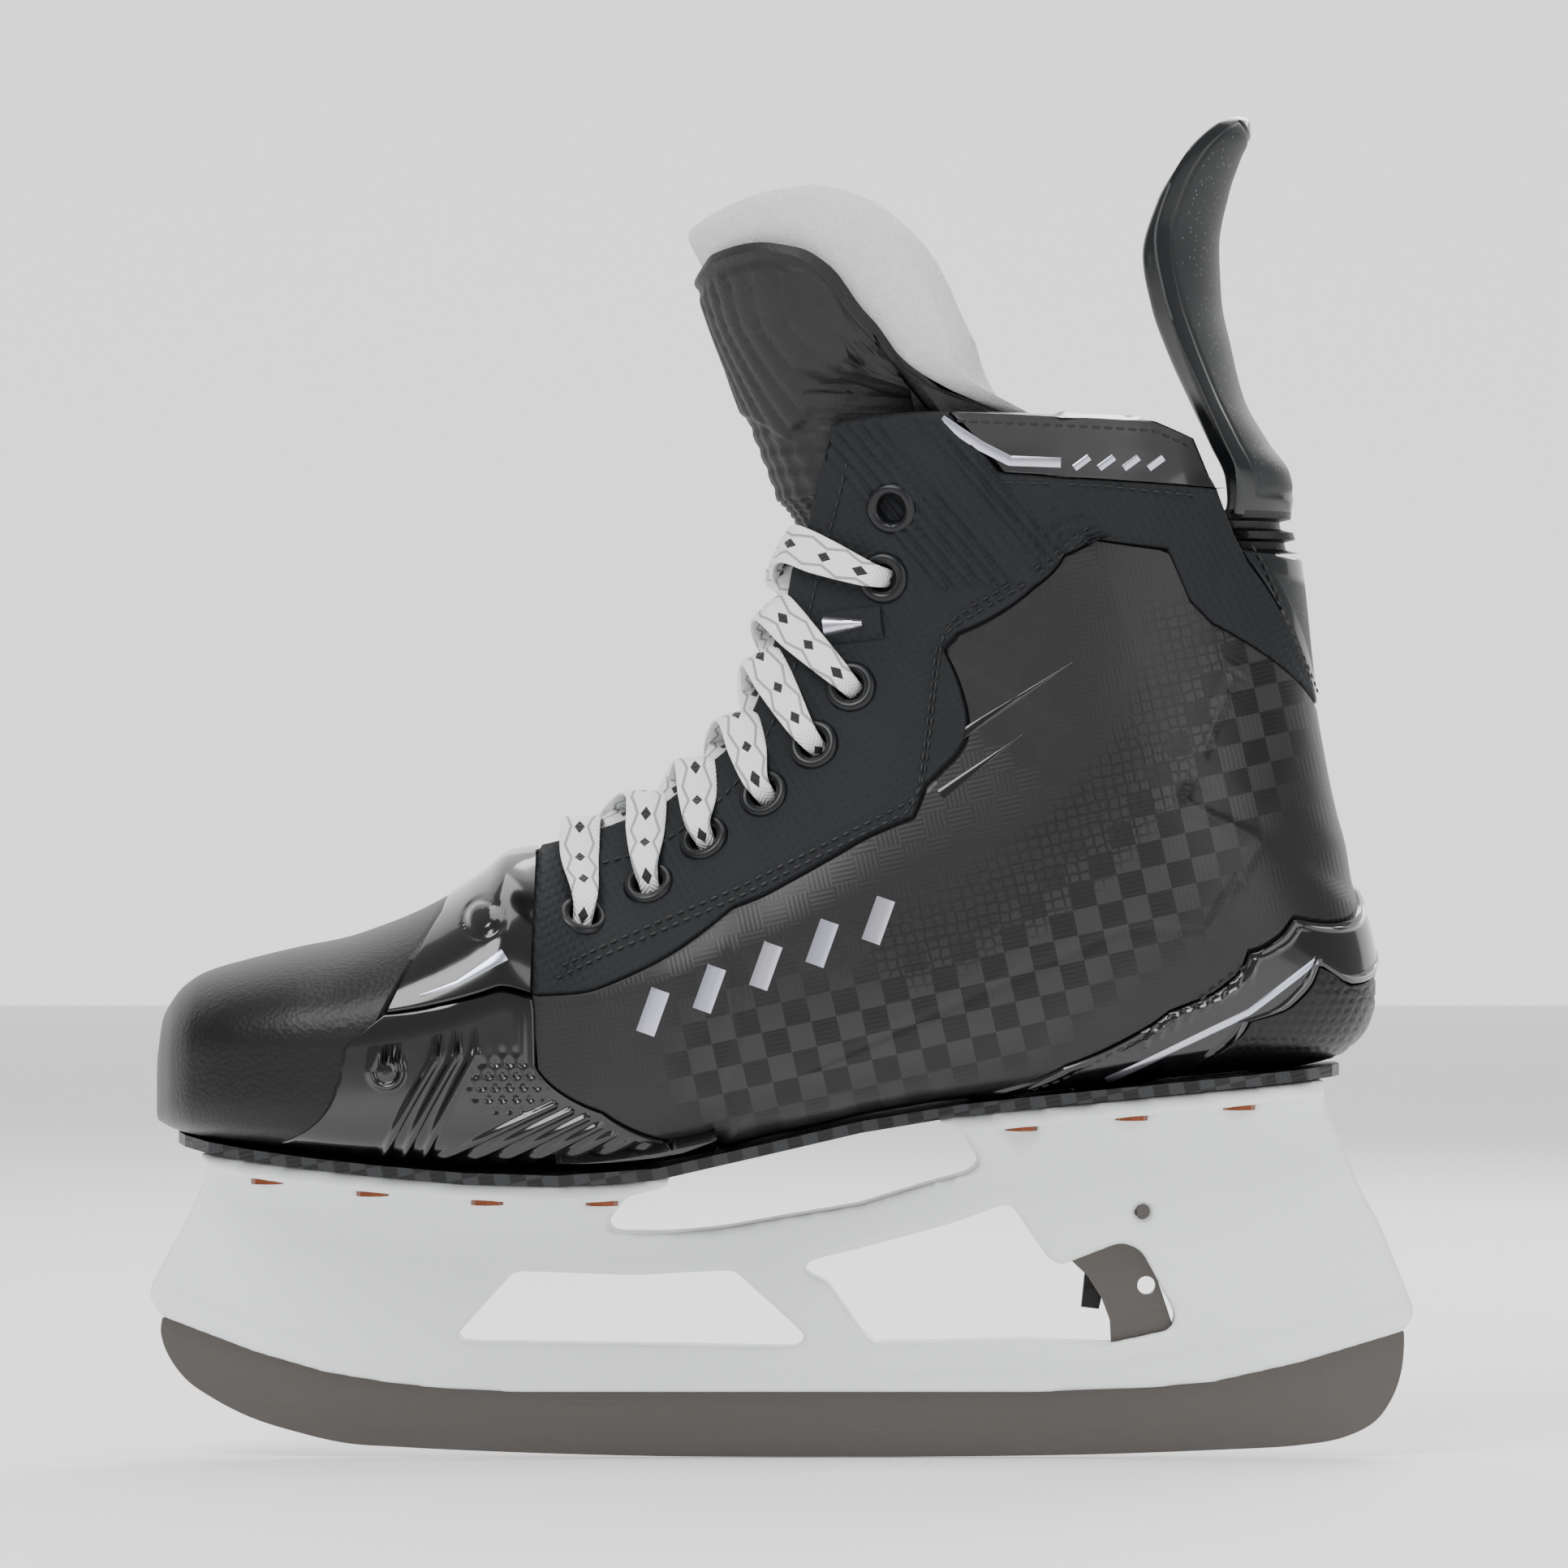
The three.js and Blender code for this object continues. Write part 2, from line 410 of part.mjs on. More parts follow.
// Skins a flat ribbon along a row of points. acrossAt gives the way its width lies, before it is squared to the run.
function ribbon(points, steps, acrossAt) {
  const path = new THREE.CatmullRomCurve3(points.map(({ point }) => point), false, 'centripetal');
  const width = smooth(points.map(({ width: wide }, i) => [i, wide]));
  return loft(Array.from({ length: steps + 1 }, (unused, k) => {
    const t = k / steps;
    const at = path.getPoint(t);
    const run = path.getTangent(t);
    const across = acrossAt(t, at, run);
    across.addScaledVector(run, -across.dot(run)).normalize();
    const out = new THREE.Vector3().crossVectors(run, across);
    const wide = width(t * (points.length - 1)) / 2;
    const corner = (a, b) => at.clone().addScaledVector(across, a * wide).addScaledVector(out, (b * LACE.thick) / 2);
    return [corner(-1, -1), corner(1, -1), corner(1, 1), corner(-1, 1)].map((point) => point.toArray());
  }));
}
const LACE_STEPS = 150;
const alongThroat = (t, at) => {
  const [u, d] = toFan(at.x, at.z);
  return fanPoint(u + 1, d, 0).sub(fanPoint(u - 1, d, 0));
};
const lowerStrand = strand(-1, 0);
const upperStrand = strand(1, HIGH);
const laceRoute = [...upperStrand.slice(1).reverse(), ...lowerStrand];
piece('lace', ribbon(laceRoute, LACE_STEPS, alongThroat), laceWhite);

// Each free end hangs down the lining behind its last eyelet, then lies folded to and fro on the footbed.
const foldX = (s) => HANK.start[0] + s * Math.cos(HANK.tilt);
const foldZ = (s, h) => HANK.start[1] + s * Math.sin(HANK.tilt) + h;
const stack = (HANK.runs - 1) * HANK.pitch;
const hankOutline = [[0, 1.4 - HANK.below], [1.4, -HANK.below], [HANK.length - 1.4, -HANK.below],
  [HANK.length, 1.4 - HANK.below], [HANK.length, stack - 0.4], [HANK.length - 1.4, stack + 1], [1.4, stack + 1],
  [0, stack - 0.4]].map(([s, h]) => [foldX(s), foldZ(s, h)]);
for (const [name, side] of SIDES) {
  const route = TAIL.map(([x, y, z]) => ({ point: new THREE.Vector3(x, side * y, z), width: LACE.width }));
  route[0].width = LACE.narrow;
  const turning = (t, at, run) => {
    const flat = new THREE.Vector3().crossVectors(run, new THREE.Vector3(0, 1, 0)).normalize();
    return flat.lerp(new THREE.Vector3(0, 1, 0), THREE.MathUtils.smoothstep(t, 0.55, 0.95));
  };
  piece(`lace_tail_${name}`, ribbon(route, 30, turning), laceWhite);
  const [low, high] = [HANK.y - LACE.width / 2 - GAP, HANK.y + LACE.width / 2 + GAP];
  piece(`lace_hank_${name}`, prism(hankOutline, Math.min(side * low, side * high), Math.max(side * low, side * high)),
    laceWhite);
  const tip = new THREE.Vector3(foldX(-GAP - AGLET.length / 2), side * HANK.y, foldZ(-GAP - AGLET.length / 2, 0));
  piece(`aglet_${name}`, cylinder(AGLET.radius, AGLET.length, tip,
    new THREE.Vector3(Math.cos(HANK.tilt), 0, Math.sin(HANK.tilt)), 8), glossBlack);
}

// ---------------------------------------------------------------- outer panels
const seams = [CAP_SEAM, BRIDGE_SEAM, GUARD_SEAM, EYESTAY_FRONT, EYESTAY_SEAM, BASE_SEAM, EDGE_SEAM, BAND_TOP,
  BAND_LOW].map(curtain);
const collarCut = prism([...COLLAR_TOP, [125, 270], [0, 270]]);
const wall = bootForm(0).subtract(bootForm(SHELL, CUFF_U + 4))
  .subtract(throatCut)
  .subtract(collarCut)
  .subtract(wasm.Manifold.union(seams))
  .subtract(wasm.Manifold.union(eyeletHoles));
const panel = (outline, low, high) => largest(wall.intersect(prism(outline, low, high)));
const BELOW = 40;
const ABOVE = 260;

piece('toe_cap', panel([[-150, BELOW], [-150, 145], ...CAP_SEAM, [-116, BELOW]]), satinBlack);
piece('toe_bridge', panel([[-73, 145], ...CAP_SEAM.slice(0, 3), ...BRIDGE_SEAM.slice(1), [-54.1, 150]]), glossBlack);
for (const [name, side] of SIDES) {
  piece(`toe_guard_${name}`,
    panel([...CAP_SEAM.slice(2).reverse(), ...GUARD_SEAM, [-116, BELOW]], ...sideRange(side)), glossBlack);
}
piece('quarter_shell', panel([...GUARD_SEAM.slice().reverse(), ...EYESTAY_SEAM.slice(1),
  ...BAND_TOP.slice().reverse()]), charcoal);
for (const [name, side] of SIDES) {
  piece(`eyestay_${name}`, panel([...EYESTAY_SEAM.slice(0, -1), ...BASE_SEAM.slice(1, -1).reverse(),
    ...EDGE_SEAM.slice(0, -1).reverse(), [0, 240], ...EYESTAY_FRONT.slice(1)], ...sideRange(side)), matteSlate);
  piece(`comfort_edge_${name}`, panel([...EDGE_SEAM, [104, ABOVE], [35.5, ABOVE]], ...sideRange(side)), glossBlack);
}
piece('heel_band', panel([...BAND_TOP, ...BAND_LOW.slice().reverse()]), glossBlack);
piece('heel_cup', panel([...BAND_LOW, [142, BELOW], [68, BELOW]]), satinBlack);
piece('guard_base', panel([...BASE_SEAM.slice(1), [140, 158], [140, 203]]), blackPlastic);

// A lace lock on each eyestay: a stitched patch under a tapered metal tooth.
for (const [name, side] of SIDES) {
  const { point, normal } = onBoot(...LOCK.at, side);
  const along = new THREE.Vector3(LOCK.run[0], 0, LOCK.run[1]);
  along.addScaledVector(normal, -along.dot(normal)).normalize();
  const across = new THREE.Vector3().crossVectors(normal, along);
  const frame = new THREE.Matrix4().makeBasis(along, across, normal).setPosition(point);
  const slab = (outline, low, thick) => {
    const shape = new THREE.Shape(outline.map(([a, b]) => new THREE.Vector2(a, b)));
    const geometry = new THREE.ExtrudeGeometry(shape, { depth: thick, bevelEnabled: false });
    geometry.translate(0, 0, low);
    return toSolid(geometry.applyMatrix4(frame));
  };
  const [a, b] = [LOCK.length / 2, LOCK.width / 2];
  const patch = slab([[-a, -b], [a, -b], [a, b], [-a, b]], LOCK.lift, LOCK.patch);
  const tooth = slab([[-a, -b * 0.75], [LOCK.tooth - a, -b * 0.3], [LOCK.tooth - a, b * 0.3], [-a, b * 0.75]],
    LOCK.lift + LOCK.patch - 0.2, LOCK.plate);
  piece(`lace_lock_${name}`, patch.add(tooth), steelGrey);
}

// ---------------------------------------------------------------- liner, footbed, outsole
const LINER_FLOOR = 13; // the liner stops this far above the sole line
const LINER_TOP = 1.2;
const linerOutline = [[-50, soleZ(-50) + LINER_FLOOR], ...[-30, 0, 30, 60, 90, 112].map((x) => [x,
  soleZ(x) + LINER_FLOOR]), [125, soleZ(112) + LINER_FLOOR], [125, 201.8 - LINER_TOP],
...COLLAR_TOP.slice(1, -1).reverse().map(([x, z]) => [x, z - LINER_TOP]), [-10, 240], [-50, 170]];
piece('liner', largest(bootForm(LINER_INSET).subtract(bootForm(LINER_INSET + LINER, CUFF_U + 4))
  .subtract(throatCut)
  .intersect(prism(linerOutline))
  .subtract(wasm.Manifold.union(eyeletHoles))), linerGrey);

// A plate that follows the sole: its half width by x, and its two heights over the sole line.
function solePlate(outline, low, high) {
  const width = smooth(outline);
  const first = outline[0][0];
  const last = outline[outline.length - 1][0];
  const steps = 18;
  return loft(Array.from({ length: steps + 1 }, (unused, k) => {
    const x = (first + last) / 2 - (Math.cos((Math.PI * k) / steps) * (last - first)) / 2;
    const wide = width(x);
    const z = soleZ(x);
    return [[x, -wide, z + low], [x, wide, z + low], [x, wide, z + high], [x, -wide, z + high]];
  }));
}
const OUTSOLE_PLAN = [[-135, 9], [-132, 20], [-125, 30], [-112, 38], [-92, 43], [-65, 45.5], [-40, 43], [-15, 36],
  [20, 30.5], [50, 30], [80, 31], [104, 29.5], [117, 23], [123, 14], [125, 7]];
const FOOTBED_PLAN = [[-126, 9], [-121, 19], [-110, 25], [-90, 29], [-65, 31], [-40, 29], [-10, 25], [30, 22],
  [70, 22], [95, 20], [108, 14], [113, 7]];
piece('footbed', solePlate(FOOTBED_PLAN, FOOTBED_LIFT, FOOTBED_LIFT + FOOTBED), linerGrey);

// ---------------------------------------------------------------- rivets
const flange = smooth(FLANGE);
const UP = new THREE.Vector3(0, 0, 1);
const RIVET_RECESS = 4.6; // the head sits this far under the sole line, in a pocket of the flange
const STRIP_LIFT = 0.6; // the backing strip's place over the sole line, inside the outsole
const rivetRows = [['front', FRONT_RIVETS], ['rear', REAR_RIVETS]];
const rivetAt = (x, side) => side * (flange(x) - RIVET_INSET);
const rivetRow = (places, side) => {
  const shanks = places.map((x) => cylinder(RIVET.shank, RIVET_RECESS + STRIP_LIFT + 0.5,
    new THREE.Vector3(x, rivetAt(x, side), soleZ(x) + (STRIP_LIFT + 0.5 - RIVET_RECESS) / 2), UP, 6));
  const heads = places.map((x) => cylinder(RIVET.head, 1.4,
    new THREE.Vector3(x, rivetAt(x, side), soleZ(x) - RIVET_RECESS), UP, 8));
  const strip = loft(places.flatMap((x, i) => {
    const end = i === 0 ? -RIVET.head : i === places.length - 1 ? RIVET.head : 0;
    const y = rivetAt(x, side);
    const z = soleZ(x) + STRIP_LIFT;
    return [[[x + end, y - RIVET.head, z], [x + end, y + RIVET.head, z],
      [x + end, y + RIVET.head, z + RIVET.strip], [x + end, y - RIVET.head, z + RIVET.strip]]];
  }));
  return wasm.Manifold.union([...shanks, ...heads, strip]);
};
const rivetClearance = (places, side) => places.flatMap((x) => {
  const at = (z) => new THREE.Vector3(x, rivetAt(x, side), z);
  return [cylinder(RIVET.shank + GAP, 12, at(soleZ(x)), UP, 6),
    cylinder(RIVET.head + 0.9, 16, at(soleZ(x) - RIVET_RECESS - 7), UP, 8)];
});
const stripClearance = (places, side) => {
  const room = RIVET.head + GAP;
  return loft(places.map((x, i) => {
    const end = i === 0 ? -room : i === places.length - 1 ? room : 0;
    const y = rivetAt(x, side);
    const z = soleZ(x) + STRIP_LIFT - GAP;
    return [[x + end, y - room, z], [x + end, y + room, z], [x + end, y + room, z + 6], [x + end, y - room, z + 6]];
  }));
};

const outsoleCuts = [];
const holderCuts = [];
for (const [name, side] of SIDES) {
  for (const [row, places] of rivetRows) {
    piece(`rivets_${row}_${name}`, rivetRow(places, side), copper);
    outsoleCuts.push(stripClearance(places, side));
    holderCuts.push(...rivetClearance(places, side));
  }
}
piece('outsole', solePlate(OUTSOLE_PLAN, 0, OUTSOLE).subtract(wasm.Manifold.union([...outsoleCuts, ...holderCuts])),
  carbon);

// ---------------------------------------------------------------- holder
// Its width grows from the rail through the towers to the flange under the sole.
const holderStations = [-142, -139, -134, -129, -122, -112, -95, -80, -60, -48, -40, -34, -25, -12, 10, 30, 38, 44,
  52, 64, 78, 92, 104, 113, 119, 124, 131, 142];
const holderBody = loft(holderStations.map((x) => {
  const top = soleZ(Math.min(Math.max(x, -139), 126)) - GAP;
  const wide = flange(x);
  const tower = Math.min(wide, 7 + (wide - 7) * 0.55);
  const profile = [[0, RAIL_HALF], [26, RAIL_HALF], [36, 7], [top - 16, Math.min(tower, 8.5)],
    [top - 9, Math.min(tower, 12)], [top - FLANGE_THICK - 1, tower], [top - FLANGE_THICK, wide], [top, wide]];
  const side = (sign) => profile.map(([z, y]) => [x, sign * y, z]);
  return [...side(-1), ...side(1).reverse()];
}));
const soleTop = Array.from({ length: 26 }, (unused, k) => -132 + k * 10.2).map((x) => [x, soleZ(x) - GAP]);
const holderOutline = [...HOLDER_BOTTOM, ...HOLDER_TAIL, ...BRIDGE_TOP, ...HOLDER_NOSE];
const slotCut = prism(RUNNER_SLOT, -SLOT / 2, SLOT / 2);
const pocketCut = prism(TRIGGER_POCKET, TRIGGER.inner - GAP, RAIL_HALF * 5);
const pinHole = cylinder(PIN.radius + GAP, 60, new THREE.Vector3(TRIGGER_PIVOT[0], 0, TRIGGER_PIVOT[1]),
  new THREE.Vector3(0, 1, 0), 14);
const bossCut = prism(CATCH_ROOM, -SLOT / 2, RAIL_HALF * 5);
piece('holder', prism(holderOutline)
  .intersect(holderBody)
  .subtract(prism(FRONT_WINDOW))
  .subtract(prism(REAR_WINDOW))
  .subtract(wasm.Manifold.union([slotCut, pocketCut, pinHole, bossCut, ...holderCuts])), whitePlastic);

// ---------------------------------------------------------------- runner, trigger
const pinAxis = new THREE.Vector3(0, 1, 0);
const hookPlace = new THREE.Vector3(HOOK_HOLE.at[0], 0, HOOK_HOLE.at[1]);
const hookHole = cylinder(HOOK_HOLE.radius, 20, hookPlace, pinAxis, 12);
piece('runner', prism([...RUNNER_EDGE, ...RUNNER_TANG], -STEEL / 2, STEEL / 2).subtract(hookHole), steelGrey);

const pivot = (y) => new THREE.Vector3(TRIGGER_PIVOT[0], y, TRIGGER_PIVOT[1]);
const bore = cylinder(PIN.radius + 0.05, 60, pivot(0), pinAxis, 14);
const catchPlate = prism(CATCH_PLATE, -STEEL / 2, STEEL / 2);
const boss = cylinder(TRIGGER.boss, TRIGGER.outer - 1, pivot((TRIGGER.outer + 1) / 2), pinAxis, 14);
const lever = prism(LEVER, TRIGGER.inner, TRIGGER.outer);
piece('trigger', wasm.Manifold.union([catchPlate, boss, lever]).subtract(bore), blackPlastic);
piece('trigger_pin', cylinder(PIN.radius, 2 * PIN.half, pivot(0), pinAxis, 14)
  .add(cylinder(2.4, 0.8, pivot(PIN.half + 0.1), pinAxis, 14)), steelGrey);
class Coil extends THREE.Curve {
  getPoint(t, target = new THREE.Vector3()) {
    const angle = 2 * Math.PI * SPRING.turns * t;
    return target.set(TRIGGER_PIVOT[0] + SPRING.radius * Math.cos(angle), SPRING.start + SPRING.rise * t,
      TRIGGER_PIVOT[1] + SPRING.radius * Math.sin(angle));
  }
}
const wire = new THREE.Shape().absarc(0, 0, SPRING.wire, 0, 2 * Math.PI);
piece('trigger_spring', new THREE.ExtrudeGeometry(wire, { extrudePath: new Coil(), steps: 16, curveSegments: 2 }),
  steelGrey);

// ---------------------------------------------------------------- tendon guard
function guardRing([z, front, back, wide], points = 8) {
  const curve = (across, wall) => {
    const y = (wide - wall * 0.4) * across;
    const depth = back - front - wall;
    return [back - wall - (depth - GAP) * across * across, y, z];
  };
  const line = (wall) => Array.from({ length: points + 1 }, (unused, k) => curve(-1 + (2 * k) / points, wall));
  return [...line(0), ...line(GUARD_WALL).reverse()];
}
const neck = prism(GUARD_NECK, -GUARD_NECK_HALF, GUARD_NECK_HALF);
const guardFoot = prism(GUARD_FOOT, -GUARD_FOOT_HALF, GUARD_FOOT_HALF);
piece('tendon_guard', wasm.Manifold.union([loft(GUARD.map((row) => guardRing(row))), neck, guardFoot]), blackPlastic);

// ---------------------------------------------------------------- tongue
function tongueD(u, y, wide, depth, inset) {
  const sweep = Math.sqrt(Math.max(1 - (y / wide) ** 2, 0));
  const own = tongueLine[0](u) + depth * (1 - sweep);
  const limit = Math.min(u, CUFF_U);
  if (u > TURN + 20) return own + inset;
  const boot = LINER_INSET + LINER + TONGUE_ROOM;
  const front = inner(limit) + boot;
  const back = outer(limit) - boot;
  const open = Math.max(throat(limit) - 4, 0);
  const beyond = Math.max((Math.abs(y) - open) / Math.max(halfWidth(limit) - boot - open, 1), 0);
  const across = (1 - (1 - Math.min(beyond, 1) ** (1 / frontRoot(limit))) ** (1 / frontPower(limit))) / 2;
  return Math.max(own, Math.abs(y) > open ? front + (back - front) * across : 0) + inset;
}
function tongueRing(u, from, to) {
  const across = 10;
  const line = (inset) => Array.from({ length: across + 1 }, (unused, k) => {
    const wide = tongueLine[1](u) - inset;
    const y = wide * Math.sin((Math.PI / 2) * (-1 + (2 * k) / across) * 0.96);
    return onFan(u, tongueD(u, y, wide, tongueLine[2](u), inset), y);
  });
  return [...line(from), ...line(to).reverse()];
}
const tongueStations = [-24, -5, 15, 35, 60, 85, 110, 135, TURN, 172, 180, 192, 200, 207, 213, 219, 228];
const tongueLayer = (from, to) => loft(tongueStations.map((u) => tongueRing(u, from, to)));
const faceBody = tongueLayer(0, TONGUE_FACE).intersect(prism(FACE_EDGE));
const feltBody = tongueLayer(TONGUE_FACE + FELT_GAP, TONGUE_FACE + GAP + TONGUE_FELT)
  .subtract(tongueLayer(-1, TONGUE_FACE + FELT_GAP))
  .intersect(prism(FELT_EDGE));
const lowerPart = prism([[-80, 60], [-80, FLOP_Z - GAP], [80, FLOP_Z - GAP], [80, 60]]);
const upperPart = prism([[-80, FLOP_Z], [-80, 300], [80, 300], [80, FLOP_Z]]);
piece('tongue_face_lower', largest(faceBody.intersect(lowerPart)), charcoal);
piece('tongue_face_upper', largest(faceBody.intersect(upperPart)), charcoal);
const feltStrip = prism([[-80, 60], [-80, FLOP_Z - GAP], [80, FLOP_Z - GAP], [80, 60]], -FELT_HALF, FELT_HALF);
piece('tongue_felt_lower', largest(feltBody.intersect(feltStrip)), felt);
piece('tongue_felt_upper', largest(feltBody.intersect(upperPart)), felt);

// ---------------------------------------------------------------- eyelets
for (const [name, side] of SIDES) {
  EYELETS.forEach(([x, z], i) => {
    const { point, normal } = onBoot(x, z, side);
    const { rim, hole, wall: thick, proud, seat } = EYELET;
    const profile = [[hole, -SHELL], [hole + thick, -SHELL], [hole + thick, GAP - seat], [rim, GAP - seat],
      [rim, proud - 0.5], [rim - 1, proud], [hole, proud - 0.3], [hole, -SHELL]];
    const geometry = new THREE.LatheGeometry(profile.map(([r, h]) => new THREE.Vector2(r, h)), 9);
    geometry.applyQuaternion(new THREE.Quaternion().setFromUnitVectors(pinAxis, normal));
    geometry.translate(point.x, point.y, point.z);
    piece(`eyelet_${name}_${i + 1}`, geometry, blackPlastic);
  });
}

export default skate;
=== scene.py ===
"""Left ice hockey skate: skins, threads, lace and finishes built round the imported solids."""

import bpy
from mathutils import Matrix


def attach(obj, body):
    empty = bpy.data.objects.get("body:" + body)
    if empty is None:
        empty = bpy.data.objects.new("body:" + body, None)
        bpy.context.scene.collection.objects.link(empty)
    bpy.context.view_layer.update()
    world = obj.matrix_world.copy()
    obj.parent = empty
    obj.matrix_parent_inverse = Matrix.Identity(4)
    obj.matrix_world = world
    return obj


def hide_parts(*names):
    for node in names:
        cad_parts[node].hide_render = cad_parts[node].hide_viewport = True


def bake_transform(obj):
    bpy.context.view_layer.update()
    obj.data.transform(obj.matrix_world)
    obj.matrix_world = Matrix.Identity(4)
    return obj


bl_info = {
    "name": "Hockey skate",
    "version": (1, 0, 0),
    "blender": (4, 5, 0),
    "location": "3D View > Sidebar > Skate",
    "description": "Builds the looks of a laced hockey skate round its packed frame",
    "category": "Add Mesh",
}

import bmesh
import bpy
import numpy as np
from mathutils import Vector

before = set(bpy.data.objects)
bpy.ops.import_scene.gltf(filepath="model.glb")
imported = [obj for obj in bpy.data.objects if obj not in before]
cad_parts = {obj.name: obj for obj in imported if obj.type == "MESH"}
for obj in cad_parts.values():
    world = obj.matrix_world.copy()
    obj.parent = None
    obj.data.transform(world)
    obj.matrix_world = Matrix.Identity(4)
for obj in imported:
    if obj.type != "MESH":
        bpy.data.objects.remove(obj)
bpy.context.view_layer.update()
MM = 0.001
LATERAL, MEDIAL = -1, 1
SIDES = {"lateral": LATERAL, "medial": MEDIAL}

# ---------------------------------------------------------------- the boot's form, in millimetres
# Sections stand upright through the foot, fan round the instep about the spine's corner, and lie level
# up the ankle. u runs along them, and d runs across each one from the spine.
SPINE_X, SPINE_Z, FAN = -25.0, 215.0, 100.0
TURN = FAN * np.pi / 2
TOE_U = -114.6
CUFF_U = TURN + 33
SOLE_LIFT = 3.2
SOLE = [(-140, 73), (-133, 70.4), (-111, 67.1), (-88.6, 64.7), (-60, 62.7), (-45, 62.5), (-25, 64.2),
        (-6, 68.6),
        (10, 72.4), (34, 76.9), (80, 81.8), (126, 86.2)]
SOLE_RUN = [-139.6, -136, -130, -120, -105, -90, -75, -60, -45, -30, -15, 0, 15, 30, 45, 60, 80, 100, 118]
HEEL = [(126.5, 91.5), (130.7, 95.5), (132.8, 100.5), (133.2, 106), (132.9, 112), (131, 121), (128.2, 128.3),
        (126.5, 137.8), (124.6, 145), (122.3, 156), (120.1, 169), (118.6, 181.7), (117.5, 192.6), (116, 204),
        (113, 216), (111, 232), (110, 250)]
TOP = [(-139.6, 92), (-138.5, 98.7), (-137.2, 101.4), (-134, 105.6), (-129.2, 108.7), (-120, 111.5),
       (-108, 114.4), (-98, 116.4), (-90, 119), (-82, 122.2), (-72.6, 127.2), (-65.4, 132.1), (-60.7, 135.8),
       (-54.3, 136.9), (-40.8, 140.5), (-28.9, 145.1), (-17, 154.2), (-11.5, 158.8), (-5.1, 168.9),
       (-2.4, 178),
       (0.4, 187.1), (4, 201.8), (8, 216.5), (11, 226), (14, 240), (16, 250)]


def smooth(points):
    """A curve through points that never overshoots them, with Fritsch and Carlson's slopes."""
    px, py = np.array(points, float).T
    h = np.diff(px)
    s = np.diff(py) / h
    both = s[:-1] * s[1:]
    total = np.where(both > 0, s[:-1] + s[1:], 1)
    slope = np.concatenate([s[:1], np.where(both > 0, 2 * both / total, 0), s[-1:]])

    def curve(x):
        x = np.asarray(x, float)
        i = np.clip(np.searchsorted(px, x) - 1, 0, len(h) - 1)
        t = np.clip((x - px[i]) / h[i], 0, 1)
        r = 1 - t
        return (py[i] * (1 + 2 * t) * r * r + slope[i] * h[i] * t * r * r
                + py[i + 1] * (3 - 2 * t) * t * t - slope[i + 1] * h[i] * t * t * r)

    return curve


def on_fan(u, d, y):
    """The point at u and d: upright before the corner, turned about it, then level above it."""
    angle = np.clip(u, 0, TURN) / FAN
    x = SPINE_X + np.minimum(u, 0) + d * np.sin(angle)
    z = SPINE_Z + np.maximum(u - TURN, 0) - d * np.cos(angle)
    return np.stack(np.broadcast_arrays(x, y, z), -1)


def to_fan(x, z):
    """u and d of a side-view point."""
    angle = np.arctan2(x - SPINE_X, np.maximum(SPINE_Z - z, 1e-9))
    u = np.where(z > SPINE_Z, TURN + z - SPINE_Z, np.where(x < SPINE_X, x - SPINE_X, FAN * angle))
    d = np.where(z > SPINE_Z, x - SPINE_X, np.where(x < SPINE_X, SPINE_Z - z,
                                                    np.hypot(x - SPINE_X, SPINE_Z - z)))
    return u, d


sole_z = smooth(SOLE)
outer = smooth([to_fan(x, z) for x, z in [(x, sole_z(x) + SOLE_LIFT) for x in SOLE_RUN] + HEEL])
inner = smooth([to_fan(x, z) for x, z in TOP])
half_width = smooth([(-114.6, 7), (-113, 15), (-110, 25), (-105, 33.5), (-95, 41.5), (-80, 47.5), (-60, 51),
                     (-40, 52), (-20, 50), (0, 46.5), (35, 42.5), (70, 40), (105, 38.5), (135, 38),
                     (157, 39.5),
                     (192, 43)])
throat = smooth([(-114.6, 0), (-60, 0), (-40, 9), (-29, 13), (-15, 16), (20, 19), (60, 21), (110, 23),
                 (157, 26),
                 (192, 30)])
front_power = smooth([(-114.6, 2.6), (-40, 2.6), (-15, 1.4), (192, 1.5)])
front_root = smooth([(-114.6, 0.5), (-40, 0.5), (-15, 1.25), (110, 1.1), (192, 0.8)])
back_power = smooth([(-114.6, 6), (50, 7), (72, 5), (95, 2.8), (120, 2.2), (192, 2.2)])
back_root = smooth([(-114.6, 0.27), (50, 0.25), (72, 0.3), (95, 0.42), (120, 0.48), (192, 0.5)])


def boot_y(u, across, inset=0.0):
    """Half width at a share of the way from the throat to the sole or heel."""
    wide = half_width(u) - inset
    level = np.minimum(np.abs(1 - 2 * across), 1)
    opening = np.minimum(throat(u), wide)
    front = opening + (wide - opening) * (1 - level ** front_power(u)) ** front_root(u)
    back = wide * (1 - level ** back_power(u)) ** back_root(u)
    return np.where(across > 0.5, back, front)


def boot(u, turn, inset=0.0, closed=False):
    """The boot's skin. turn is 0 at the throat and pi at the sole or heel, and negative on the outer side.
    The depth goes as a power of cos(turn) and the half width as a power of sin(turn)."""
    front = inner(u) + inset
    back = outer(u) - inset
    c = np.cos(turn)
    s = np.abs(np.sin(turn))
    power = np.where(c > 0, front_power(u), back_power(u))
    across = (1 - np.sign(c) * np.abs(c) ** (2 / power)) / 2
    wide = half_width(u) - inset
    opening = np.minimum(throat(u), wide)
    if closed:
        opening = opening * np.clip(np.abs(turn) / 0.3, 0, 1)
    y_front = opening + (wide - opening) * s ** (2 * front_root(u))
    y_back = wide * s ** (2 * back_root(u))
    y = np.where(c > 0, y_front, y_back) * np.where(np.sin(turn) < 0, -1, 1)
    return on_fan(u, front + (back - front) * across, y)


